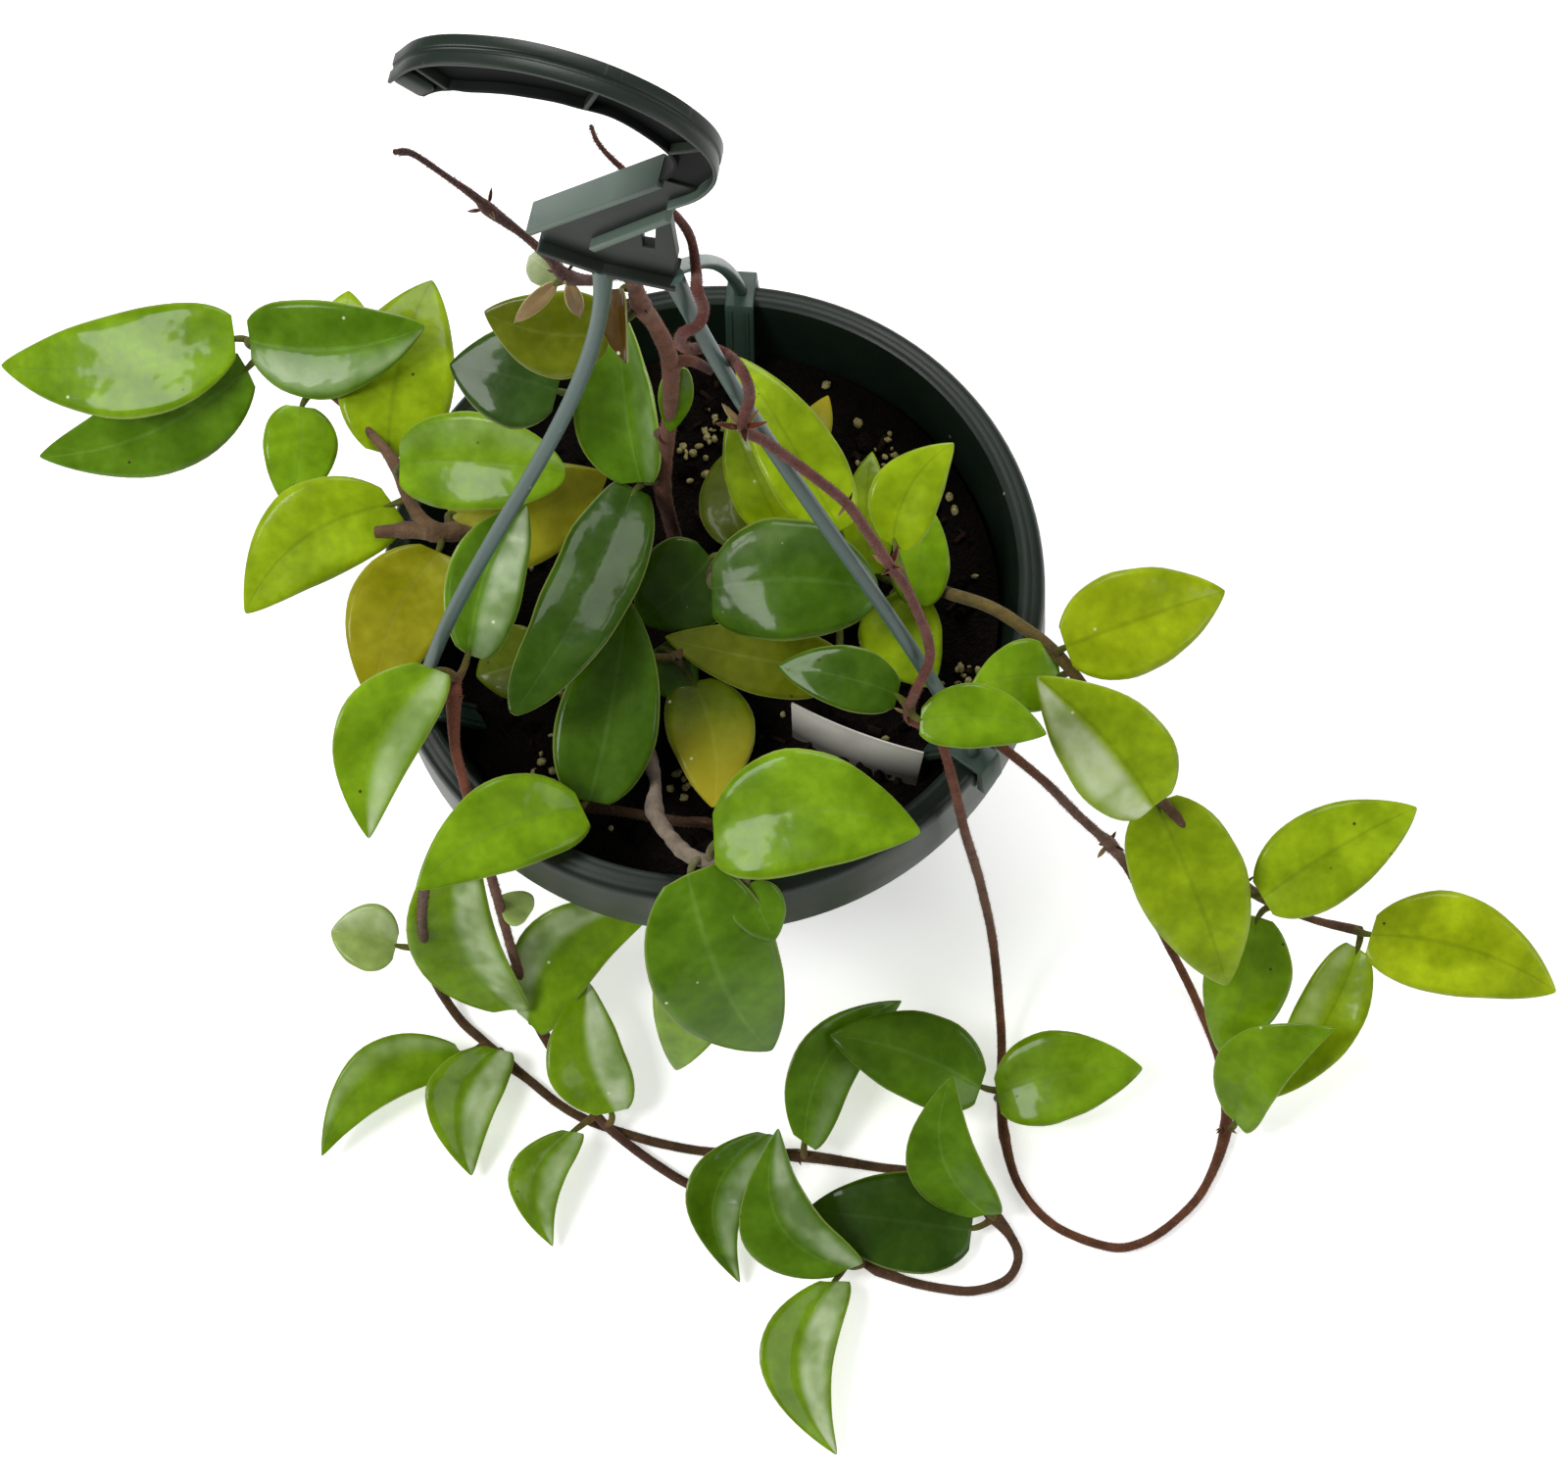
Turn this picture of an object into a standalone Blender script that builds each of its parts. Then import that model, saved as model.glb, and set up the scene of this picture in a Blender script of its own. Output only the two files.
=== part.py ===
"""Wax plant in a plastic hanging pot that stands on a surface, with its vines laid along that surface.

Metres, +Z up, origin at the middle of the pot's base. The viewer of the reference frame stands at -Y.
Stops of stems and ends of leaves are (column, row, height): a place in the 1600 x 1501 reference frame and
a height in millimetres over the surface, which sight() turns into a point.
"""

import math

import bmesh
import bpy
from mathutils import Matrix, Vector

MM = 0.001

# Pot
RIM_RADIUS = 103 * MM
RIM_HEIGHT = 140 * MM
RIM_LIP = 8.5 * MM
SKIRT_DROP = 32 * MM
WALL = 2 * MM
BASE_RADIUS = 68 * MM
FLOOR = 4.5 * MM
POT_SIDES = 36
DRAIN_HOLES = 6
DRAIN_RADIUS = 4 * MM
DRAIN_RING = 45 * MM

# Soil
SOIL_TOP = 115 * MM
GAP = 0.35 * MM
ROOT_DEPTH = 24 * MM

# Hanger: hub height over the rim, strands and the three clips
HUB_HEIGHT = RIM_HEIGHT + 232 * MM
STRAND_RADIUS = 2.1 * MM
CLIP_TURNS = {"left": 197, "rear": 76, "right": 315}
CLIP_WIDTH = 9 * MM
CLIP_WALL = 2.2 * MM
CLIP_INSIDE = 22 * MM
CLIP_LEAN = 11 * MM
CLIP_OUTSIDE = 13 * MM
HOOK_TURN = -20
HOOK_WIDTH = 7.5 * MM
HOOK_DEPTH = 10.2 * MM
HOOK_WALL = 1.8 * MM
WEB = 3 * MM
FLANGE = 8.5 * MM

# Label
LABEL_THICKNESS = 0.8 * MM
LABEL_LENGTH = 44 * MM
LABEL_SHOWN = 15 * MM
LABEL_SUNK = 4.5 * MM
LABEL_LEAN = 30

# Plant
BLADE_MIDDLE = 2.0 * MM
BLADE_EDGE = 0.8 * MM
WIDE_BLADE = 30
SMALL_BLADE = 22
BLADE_ROWS = 7
BLADE_BASE = 0.52
BLADE_TIP = 0.85
STALK_RADIUS = 1.3 * MM
STEM_STEP = 17 * MM
STEM_SIDES = 6
THIN_STEM = 1.9 * MM
HOLE_CLEARANCE = 1.1 * MM
SURFACE_CLEARANCE = 0.4 * MM

# Reference frame: the point it looks at, from where, and its focal length in its own columns
FRAME = (1600, 1501)
FRAME_FOCAL = 3374
FRAME_TARGET = Vector((14.8 * MM, -54 * MM, RIM_HEIGHT))
FRAME_DISTANCE = 1.0
FRAME_ELEVATION = math.radians(70.2)
FRAME_ROLL = math.radians(-9.2)


def frame_axes():
    """Eye point and the right, up and forward directions of the reference frame."""
    back = Vector((0, -math.cos(FRAME_ELEVATION), math.sin(FRAME_ELEVATION)))
    right = Vector((1, 0, 0))
    up = back.cross(right)
    cos, sin = math.cos(FRAME_ROLL), math.sin(FRAME_ROLL)
    return FRAME_TARGET + back * FRAME_DISTANCE, right * cos + up * sin, up * cos - right * sin, -back


EYE, RIGHT, UP, FORWARD = frame_axes()


def sight(column, row, height_mm):
    """The point at this height that shows at this column and row."""
    ray = FORWARD + RIGHT * ((column - FRAME[0] / 2) / FRAME_FOCAL) - UP * ((row - FRAME[1] / 2) / FRAME_FOCAL)
    return EYE + ray * ((height_mm * MM - EYE.z) / ray.z)


def shown_at(point):
    """Column and row at which a point shows."""
    away = point - EYE
    depth = away.dot(FORWARD)
    return (
        FRAME[0] / 2 + FRAME_FOCAL * away.dot(RIGHT) / depth,
        FRAME[1] / 2 - FRAME_FOCAL * away.dot(UP) / depth,
    )


def material(name, colour, roughness):
    made = bpy.data.materials.new(name)
    made.use_nodes = True
    shader = made.node_tree.nodes["Principled BSDF"]
    shader.inputs["Base Color"].default_value = (*colour, 1)
    shader.inputs["Roughness"].default_value = roughness
    return made


def add_object(name, shape, made_of=None):
    """An object of this bmesh, with its faces outwards."""
    bmesh.ops.recalc_face_normals(shape, faces=shape.faces)
    mesh = bpy.data.meshes.new(name)
    shape.to_mesh(mesh)
    shape.free()
    mesh.shade_smooth()
    mesh.set_sharp_from_angle(angle=math.radians(40))
    made = bpy.data.objects.new(name, mesh)
    bpy.context.scene.collection.objects.link(made)
    if made_of:
        mesh.materials.append(made_of)
    return made


def apply_boolean(target, others, operation, solver="EXACT"):
    """One Boolean with all the others as a collection, applied; the others are then removed."""
    group = bpy.data.collections.new(target.name + "_pieces")
    bpy.context.scene.collection.children.link(group)
    for other in others:
        bpy.context.scene.collection.objects.unlink(other)
        group.objects.link(other)
    step = target.modifiers.new(operation.lower(), "BOOLEAN")
    step.operation = operation
    step.solver = solver
    step.operand_type = "COLLECTION"
    step.collection = group
    bpy.context.view_layer.objects.active = target
    bpy.ops.object.modifier_apply(modifier=step.name)
    for other in others:
        bpy.data.objects.remove(other)
    bpy.data.collections.remove(group)
    return target


# Round and swept shapes


def turned(name, profile, sides, made_of=None):
    """A closed profile of (radius, height) points turned about Z."""
    shape = bmesh.new()
    rings = []
    for radius, height in profile:
        if radius == 0:
            rings.append([shape.verts.new((0, 0, height))])
            continue
        turns = [math.tau * side / sides for side in range(sides)]
        rings.append([shape.verts.new((radius * math.cos(t), radius * math.sin(t), height)) for t in turns])
    closed = profile[0][0] > 0
    for index in range(len(rings) if closed else len(rings) - 1):
        lower, upper = rings[index], rings[(index + 1) % len(rings)]
        for side in range(sides):
            after = (side + 1) % sides
            corners = [lower[side % len(lower)], lower[after % len(lower)]]
            corners += [upper[after % len(upper)], upper[side % len(upper)]]
            shape.faces.new(list(dict.fromkeys(corners)))
    return add_object(name, shape, made_of)


def smooth_route(stops, step):
    """Points and size factors read at even steps from a smooth curve through (point, factor) stops."""
    points = [point for point, _ in stops]
    padded = [points[0] * 2 - points[1], *points, points[-1] * 2 - points[-2]]
    route = []
    for index in range(len(points) - 1):
        before, start, end, after = padded[index : index + 4]
        count = max(1, round((end - start).length / step))
        for part in range(count):
            t = part / count
            bend = (before * 2 - start * 5 + end * 4 - after) * t**2 + (start * 3 - before - end * 3 + after) * t**3
            point = start + (end - before) * t / 2 + bend / 2
            factor = stops[index][1] * (1 - t) + stops[index + 1][1] * t
            route.append((point, factor))
    route.append(stops[-1])
    return route


def swept(name, route, section, across=None):
    """A section of (sideways, outwards) points carried along a route of (point, factor) pairs.

    Without a fixed direction across, the section is turned as little as possible from ring to ring; with one,
    factors only change how deep the section is.
    """
    shape = bmesh.new()
    points = [point for point, _ in route]
    rings = []
    side = across
    for index, (point, factor) in enumerate(route):
        along = (points[min(index + 1, len(points) - 1)] - points[max(index - 1, 0)]).normalized()
        if side is None:
            side = along.orthogonal().normalized()
        side = across or (side - along * side.dot(along)).normalized()
        out = along.cross(side).normalized()
        wide = 1 if across else factor
        rings.append([shape.verts.new(point + side * x * wide + out * y * factor) for x, y in section])
    for lower, upper in zip(rings, rings[1:]):
        for index in range(len(section)):
            after = (index + 1) % len(section)
            shape.faces.new((lower[index], lower[after], upper[after], upper[index]))
    shape.faces.new(rings[0])
    shape.faces.new(rings[-1])
    return add_object(name, shape)


def round_section(radius, sides):
    turns = [math.tau * side / sides for side in range(sides)]
    return [(radius * math.cos(turn), radius * math.sin(turn)) for turn in turns]


def block(name, corners_low, corners_high):
    """A closed block between two four-cornered faces."""
    shape = bmesh.new()
    low = [shape.verts.new(corner) for corner in corners_low]
    high = [shape.verts.new(corner) for corner in corners_high]
    shape.faces.new(low)
    shape.faces.new(high)
    for index in range(4):
        after = (index + 1) % 4
        shape.faces.new((low[index], low[after], high[after], high[index]))
    return add_object(name, shape)


# Pot and soil


def inner_radius(height):
    """Radius of the pot's inner wall at this height."""
    lowest = BASE_RADIUS - WALL
    return lowest + (RIM_RADIUS - RIM_LIP - lowest) * (height / RIM_HEIGHT)


def make_pot(plastic):
    """One shell: foot ring, tapered wall, and the rim turned over into a hanging skirt."""
    outer_wall = inner_radius(RIM_HEIGHT - 4 * MM) + WALL
    skirt_low = RIM_HEIGHT - SKIRT_DROP
    profile = [
        (0, 0),
        (15 * MM, 0),
        (17 * MM, 2 * MM),
        (56 * MM, 2 * MM),
        (58 * MM, 0),
        (BASE_RADIUS - 2 * MM, 0),
        (BASE_RADIUS, 2 * MM),
        (outer_wall, RIM_HEIGHT - 4 * MM),
        (RIM_RADIUS - WALL, RIM_HEIGHT - 4 * MM),
        (RIM_RADIUS - WALL, skirt_low),
        (RIM_RADIUS + 0.5 * MM, skirt_low),
        (RIM_RADIUS, RIM_HEIGHT - 3 * MM),
        (RIM_RADIUS - 1.5 * MM, RIM_HEIGHT),
        (RIM_RADIUS - RIM_LIP + 1 * MM, RIM_HEIGHT),
        (RIM_RADIUS - RIM_LIP, RIM_HEIGHT - 1.5 * MM),
        (inner_radius(FLOOR), FLOOR),
        (0, FLOOR),
    ]
    pot = turned("pot", profile, POT_SIDES, plastic)
    drills = []
    for index in range(DRAIN_HOLES):
        turn = math.tau * index / DRAIN_HOLES
        place = Vector((DRAIN_RING * math.cos(turn), DRAIN_RING * math.sin(turn), 0))
        ends = [(place - Vector((0, 0, 5 * MM)), 1), (place + Vector((0, 0, FLOOR + 5 * MM)), 1)]
        drills.append(swept("drill", ends, round_section(DRAIN_RADIUS, 8)))
    return apply_boolean(pot, drills, "DIFFERENCE")


def soil_height(x, y):
    """The soil's top, a little heaped and uneven."""
    heap = 2.5 * math.cos(math.hypot(x, y) / RIM_RADIUS * 1.5)
    return SOIL_TOP + (heap + 0.8 * math.sin(x * 90 + 1) * math.cos(y * 110)) * MM


def make_soil(mix, roots):
    """A plug that fills the pot, with a plain hole for each stem and a slot for the label."""
    low = FLOOR + GAP
    profile = [(0, low), (inner_radius(low) - GAP, low), (inner_radius(SOIL_TOP) - GAP * 1.5, SOIL_TOP)]
    profile += [(radius * MM, SOIL_TOP + MM) for radius in (66, 44, 22)]
    profile.append((0, SOIL_TOP + MM))
    soil = turned("soil", profile, POT_SIDES, mix)
    for vertex in soil.data.vertices:
        if vertex.co.z > SOIL_TOP + MM / 2:
            vertex.co.z = soil_height(vertex.co.x, vertex.co.y)
    holes = []
    for point, radius in roots:
        ends = [(point + Vector((0, 0, -0.6 * MM)), 1), (Vector((point.x, point.y, SOIL_TOP + 20 * MM)), 1)]
        holes.append(swept("hole", ends, round_section(radius + HOLE_CLEARANCE, 10)))
    holes.append(label_block("slot", GAP))
    return apply_boolean(soil, holes, "DIFFERENCE")


def label_block(name, grow):
    """The label's card, leaning back; grown all round it is the slot that it stands in."""
    left = sight(803, 754, SOIL_TOP / MM + 2)
    right = sight(929, 802, SOIL_TOP / MM + 2)
    along = (right - left).normalized()
    along.z = 0
    middle = (left + right) / 2
    middle.z = SOIL_TOP
    back = Vector((-along.y, along.x, 0))
    lean = math.radians(LABEL_LEAN)
    rise = Vector((0, 0, math.cos(lean))) + back * math.sin(lean)
    face = along.cross(rise)
    half = LABEL_LENGTH / 2 + grow
    thick = LABEL_THICKNESS / 2 + grow
    corners = [(-half, -LABEL_SUNK - grow), (half, -LABEL_SUNK - grow), (half, LABEL_SHOWN), (-half, LABEL_SHOWN)]
    flat = [middle + along * x + rise * y for x, y in corners]
    return block(name, [corner - face * thick for corner in flat], [corner + face * thick for corner in flat])


# Hanger


def hook_point(sideways, rise):
    """A point in the hook's upright plane, in millimetres from the middle of the hub's lower edge."""
    turn = math.radians(HOOK_TURN)
    hub = sight(655, 275, HUB_HEIGHT / MM)
    return hub + Vector((math.cos(turn) * sideways, math.sin(turn) * sideways, rise)) * MM


def hook_across():
    turn = math.radians(HOOK_TURN)
    return Vector((-math.sin(turn), math.cos(turn), 0))


# Stops along the hook's outer edge with how deep it is there as a share of HOOK_DEPTH, and outlines of the
# web, in the hook's plane, in millimetres
HOOK_STOPS = [
    ((11, 39), 1), ((19, 47), 1), ((23.5, 57), 1), ((22.5, 67), 1), ((16, 77), 1), ((7, 84.5), 0.95),
    ((-4, 90), 1.14), ((-18, 93), 1.27), ((-33, 91.5), 1.3), ((-42.5, 87), 1.15), ((-49, 79), 0.9),
]
WEB_OUTLINE = [(-23, 9), (-10, 3), (8, 0), (10, 11), (10, 36), (18, 47), (8, 50), (-23, 18)]
WEB_SLOT = [(2, 15), (4.8, 15), (6, 25.5), (2.4, 25)]
FLANGE_RUNS = [((-25, 17.5), (10, 51)), ((-10, 14), (10.5, 35)), ((-24, 9), (-9, 2.5)), ((-11, 2.6), (9, 0))]


def clip_frame(which):
    """Outward and sideways directions of a clip on the rim."""
    turn = math.radians(CLIP_TURNS[which])
    out = Vector((math.cos(turn), math.sin(turn), 0))
    return out, Vector((-out.y, out.x, 0))


def clip_top(which):
    out, _ = clip_frame(which)
    return out * (RIM_RADIUS - RIM_LIP / 2) + Vector((0, 0, RIM_HEIGHT + GAP + CLIP_WALL))


def make_clip(which):
    """A strap that goes down inside the pot, over the rim and down outside, as one bent bar."""
    out, side = clip_frame(which)
    top = RIM_HEIGHT + GAP + CLIP_WALL
    inner = RIM_RADIUS - RIM_LIP - GAP * 1.6
    outer = RIM_RADIUS + GAP * 1.4
    section = [
        (inner - CLIP_LEAN, RIM_HEIGHT - CLIP_INSIDE),
        (inner - CLIP_LEAN - CLIP_WALL, RIM_HEIGHT - CLIP_INSIDE),
        (inner - CLIP_WALL, top),
        (outer + CLIP_WALL, top),
        (outer + CLIP_WALL + 1 * MM, RIM_HEIGHT - CLIP_OUTSIDE),
        (outer, RIM_HEIGHT - CLIP_OUTSIDE),
        (outer, RIM_HEIGHT + GAP),
        (inner, RIM_HEIGHT + GAP),
    ]
    shape = bmesh.new()
    rings = []
    for way in (-1, 1):
        rings.append([
            shape.verts.new(out * radius + side * way * CLIP_WIDTH / 2 + Vector((0, 0, height)))
            for radius, height in section
        ])
    for index in range(len(section)):
        after = (index + 1) % len(section)
        shape.faces.new((rings[0][index], rings[0][after], rings[1][after], rings[1][index]))
    shape.faces.new(rings[0])
    shape.faces.new(rings[1])
    return add_object("clip", shape)


# Each strand's head on the hub (sideways, rise, across), how far it first drops and spreads,
# and the height and spread from which it comes down to its clip, in millimetres
STRAND_SHAPES = {
    "left": (-9, 3, -2, 77, 6, 92, -23),
    "rear": (-1, 4, 4, 31, -3, 104, -30),
    "right": (8, 1, -1, 74, 16, 78, -22),
}
STRAND_PARTS = 13
STRAND_SIDES = 6


def strand_route(which):
    """A strand's middle line: down from the hub, then out to its clip."""
    sideways, rise, across, drop, out_near, rise_far, out_far = STRAND_SHAPES[which]
    start = hook_point(sideways, rise) + hook_across() * across * MM
    end = clip_top(which) - Vector((0, 0, 1 * MM))
    out, _ = clip_frame(which)
    near = start + (out * out_near - Vector((0, 0, drop))) * MM
    far = end + (Vector((0, 0, rise_far)) + out * out_far) * MM
    route = []
    for index in range(STRAND_PARTS + 1):
        t = index / STRAND_PARTS
        point = start * (1 - t) ** 3 + near * 3 * t * (1 - t) ** 2 + far * 3 * t**2 * (1 - t) + end * t**3
        route.append((point, 1))
    return route


def make_hook():
    """The hook: a web in its own plane between a band outside and a band inside."""
    wide, thin = HOOK_WIDTH / 2, HOOK_WALL / 2
    right_side = [
        (wide, 0),
        (wide, HOOK_WALL),
        (thin, HOOK_WALL),
        (thin, HOOK_DEPTH - HOOK_WALL),
        (wide * 0.8, HOOK_DEPTH - HOOK_WALL),
        (wide * 0.8, HOOK_DEPTH),
    ]
    section = right_side + [(-x, y) for x, y in reversed(right_side)]
    stops = [(hook_point(*stop), depth) for stop, depth in HOOK_STOPS]
    route = smooth_route(stops, 9 * MM)
    return swept("hook", route, section, hook_across())


def make_web():
    """The flat stem and fan plate in the hook's plane, with the slot through the plate."""
    half = hook_across() * WEB / 2
    shape = bmesh.new()
    rings = []
    for way in (-1, 1):
        rings.append([shape.verts.new(hook_point(*corner) + half * way) for corner in WEB_OUTLINE])
    count = len(WEB_OUTLINE)
    for index in range(count):
        after = (index + 1) % count
        shape.faces.new((rings[0][index], rings[0][after], rings[1][after], rings[1][index]))
    shape.faces.new(rings[0])
    shape.faces.new(rings[1])
    web = add_object("web", shape)
    through = hook_across() * 10 * MM
    cutter = block(
        "slot",
        [hook_point(*corner) - through for corner in WEB_SLOT],
        [hook_point(*corner) + through for corner in WEB_SLOT],
    )
    return apply_boolean(web, [cutter], "DIFFERENCE")


def make_flange(start, end):
    """A bar along an edge of the web, square across it."""
    route = [(hook_point(*start), 1), (hook_point(*end), 1)]
    half, thick = FLANGE / 2, 1.1 * MM
    return swept("flange", route, [(-half, -thick), (half, -thick), (half, thick), (-half, thick)], hook_across())


def make_hanger(plastic):
    """Hook, stem, fan plate, three strands and three clips, moulded as one piece."""
    hanger = make_web()
    hanger.name = "hanger"
    pieces = [make_hook()]
    pieces += [make_flange(*run) for run in FLANGE_RUNS]
    for which in CLIP_TURNS:
        pieces.append(swept("strand", strand_route(which), round_section(STRAND_RADIUS, STRAND_SIDES)))
        pieces.append(make_clip(which))
    apply_boolean(hanger, pieces, "UNION")
    hanger.data.materials.clear()
    hanger.data.materials.append(plastic)
    return hanger


# Leaves and stems


def blade_points(base, tip, width, roll, fold, arch, sweep, blunt, rows, columns):
    """Middle surface of a blade as rows of points from its base to its tip.

    The blade faces the viewer, turned by roll degrees about its length. fold is the slope of its halves up
    from the midrib, arch how far it bulges towards the viewer and sweep how far it bows sideways, both as a
    share of its length. A blunt blade (1) is oblong, with a rounder tip than a pointed one (0).
    """
    length = (tip - base).length
    along = (tip - base) / length
    towards = EYE - (base + tip) / 2
    facing = (towards - along * towards.dot(along)).normalized()
    facing = Matrix.Rotation(math.radians(roll), 3, along) @ facing
    sideways = facing.cross(along)
    full, taper = BLADE_BASE - 0.1 * blunt, BLADE_TIP - 0.36 * blunt
    widest = full / (full + taper)
    fullest = widest**full * (1 - widest) ** taper
    grid = []
    for row in range(rows):
        s = 0.03 + 0.97 * (1 - math.cos(math.pi * row / (rows - 1))) / 2
        s = min(s, 0.995)
        half = width * MM / 2 * s**full * (1 - s) ** taper / fullest
        bow = 4 * s * (1 - s) * length
        middle = base + along * (length * s) + facing * (arch * bow) + sideways * (sweep * bow)
        line = []
        for column in range(columns):
            t = 2 * column / (columns - 1) - 1
            rise = half * fold * (0.6 * abs(t) + 0.4 * t * t)
            point = middle + sideways * (half * t) + facing * rise
            line.append(point)
        grid.append(line)
    return grid


def bends(leaf):
    return leaf["roll"], leaf["fold"], leaf["arch"], leaf["sweep"], leaf["blunt"]


def make_blade(name, leaf):
    """A closed blade, thicker along its midrib, split into triangles alike on both faces."""
    base, tip = sight(*leaf["base"]), sight(*leaf["tip"])
    columns = 5 if leaf["width"] >= WIDE_BLADE else 3
    rows = BLADE_ROWS if leaf["width"] >= SMALL_BLADE else BLADE_ROWS - 1
    grid = blade_points(base, tip, leaf["width"], *bends(leaf), rows, columns)
    shape = bmesh.new()
    top, bottom = [], []
    for row in range(rows):
        upper, lower = [], []
        for column in range(columns):
            t = 2 * column / (columns - 1) - 1
            up = grid[min(row + 1, rows - 1)][column] - grid[max(row - 1, 0)][column]
            over = grid[row][min(column + 1, columns - 1)] - grid[row][max(column - 1, 0)]
            normal = over.cross(up).normalized()
            thick = (BLADE_EDGE + (BLADE_MIDDLE - BLADE_EDGE) * (1 - abs(t))) / 2
            point = grid[row][column].copy()
            point.z = max(point.z, thick + SURFACE_CLEARANCE + abs(normal.z) * 0.1 * MM)
            low = point - normal * thick
            low.z = max(low.z, SURFACE_CLEARANCE)
            upper.append(shape.verts.new(point + normal * thick))
            lower.append(shape.verts.new(low))
        top.append(upper)
        bottom.append(lower)
    for row in range(rows - 1):
        for column in range(columns - 1):
            for sheet in (top, bottom):
                a, b = sheet[row][column], sheet[row][column + 1]
                c, d = sheet[row + 1][column + 1], sheet[row + 1][column]
                if column < (columns - 1) / 2:
                    shape.faces.new((a, b, c))
                    shape.faces.new((a, c, d))
                else:
                    shape.faces.new((a, b, d))
                    shape.faces.new((b, c, d))
        for column in (0, columns - 1):
            shape.faces.new((top[row][column], top[row + 1][column], bottom[row + 1][column], bottom[row][column]))
    for row in (0, rows - 1):
        for column in range(columns - 1):
            corners = (top[row][column], top[row][column + 1], bottom[row][column + 1], bottom[row][column])
            shape.faces.new(corners)
    return add_object(name, shape)


def nearest_on(route, point):
    """Nearest point on a route to a point."""
    best = None
    for (start, _), (end, _) in zip(route, route[1:]):
        run = end - start
        share = max(0, min(1, (point - start).dot(run) / run.length_squared))
        found = start + run * share
        if best is None or (found - point).length < (best - point).length:
            best = found
    return best


def make_stalk(leaf, routes):
    """The short stalk from the nearest stem into the blade's base."""
    base, tip = sight(*leaf["base"]), sight(*leaf["tip"])
    length = (tip - base).length
    grid = blade_points(base, tip, leaf["width"], *bends(leaf), BLADE_ROWS, 3)
    inside = grid[2][1]
    inside.z = max(inside.z, SURFACE_CLEARANCE + STALK_RADIUS)
    start = min((nearest_on(route, base) for route in routes), key=lambda point: (point - base).length)
    middle = base + (base - inside).normalized() * min(2 * MM, length / 20)
    middle.z = max(middle.z, SURFACE_CLEARANCE + STALK_RADIUS)
    route = [(start, 1.1), (middle, 1), (inside, 0.6)]
    return swept("stalk", route, round_section(STALK_RADIUS, 4))


def stem_route(stops):
    """Points of a stem through stops of (column, row, height) and an optional size factor, or points."""
    found = []
    for stop in stops:
        if isinstance(stop, Vector):
            found.append((stop, 1))
        else:
            found.append((sight(*stop[:3]), stop[3] if len(stop) > 3 else 1))
    return smooth_route(found, STEM_STEP)


def rooted(stops, radius, roots):
    """The stops with a straight root added below the first one, whose foot is noted for the soil's holes."""
    first = sight(*stops[0][:3])
    foot = Vector((first.x, first.y, SOIL_TOP - ROOT_DEPTH))
    roots.append((foot, radius))
    return [foot, Vector((first.x, first.y, SOIL_TOP + 4 * MM)), *stops[1:]]


def leaf(base, tip, width, roll=0, fold=0.15, arch=0.05, sweep=0, blunt=0):
    return {
        "base": base, "tip": tip, "width": width, "roll": roll,
        "fold": fold, "arch": arch, "sweep": sweep, "blunt": blunt,
    }


def beside_strand(column, row, lift_mm):
    """A stop that shows at this column and row, nearer to the viewer than the right strand by lift_mm."""
    points = [point for point, _ in strand_route("right")]
    points = [start.lerp(end, part / 4) for start, end in zip(points, points[1:]) for part in range(4)]
    place = min(points, key=lambda point: (Vector(shown_at(point)) - Vector((column, row))).length)
    return (column, row, place.z / MM + lift_mm)


# Stems and leaves of each node. A stem is a list of stops, the first one where it leaves the soil.

LEFT_SPRAY = {
    "radius": 2.0,
    "stems": [
        [(536, 560, 115), (505, 548, 136), (462, 543, 150, 1.4), (440, 541, 154, 1.5), (418, 512, 156, 0.9),
         (402, 472, 157, 0.95), (376, 440, 156, 0.7), (348, 410, 154, 0.7), (300, 380, 154, 0.6),
         (256, 352, 157, 0.7)],
    ],
    "side_stems": [
        [(440, 541, 154, 1.5), (412, 541, 153, 1.3), (384, 543, 151, 1.0)],
    ],
    "leaves": [
        leaf((247, 341, 164), (1, 373, 150), 34, 8, 0.12, 0.05, 0.07),
        leaf((258, 372, 154), (40, 466, 132), 30, -12, 0.15, 0.03, 0.08),
        leaf((250, 345, 166), (434, 333, 172), 31, 6, 0.22, 0.05, -0.08),
        leaf((306, 412, 158), (294, 519, 148), 23, 0, 0.1, 0.06, 0.05),
        leaf((345, 398, 154), (356, 297, 153), 22, 0, 0.1, 0.05),
        leaf((396, 470, 152), (441, 286, 158), 36, 0, 0.08, 0.04, 0.06),
        leaf((408, 514, 152), (250, 626, 140), 31, 0, 0.1, 0.05, -0.14),
        leaf((404, 474, 168), (578, 483, 176), 30, 6, 0.18, 0.06, 0.05, 0.8),
        leaf((452, 560, 154), (381, 722, 146), 31, 0, 0.15, 0.05, -0.1),
        leaf((452, 520, 148), (620, 484, 150), 34, 0, 0.1, 0.04, -0.12),
    ],
}

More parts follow.
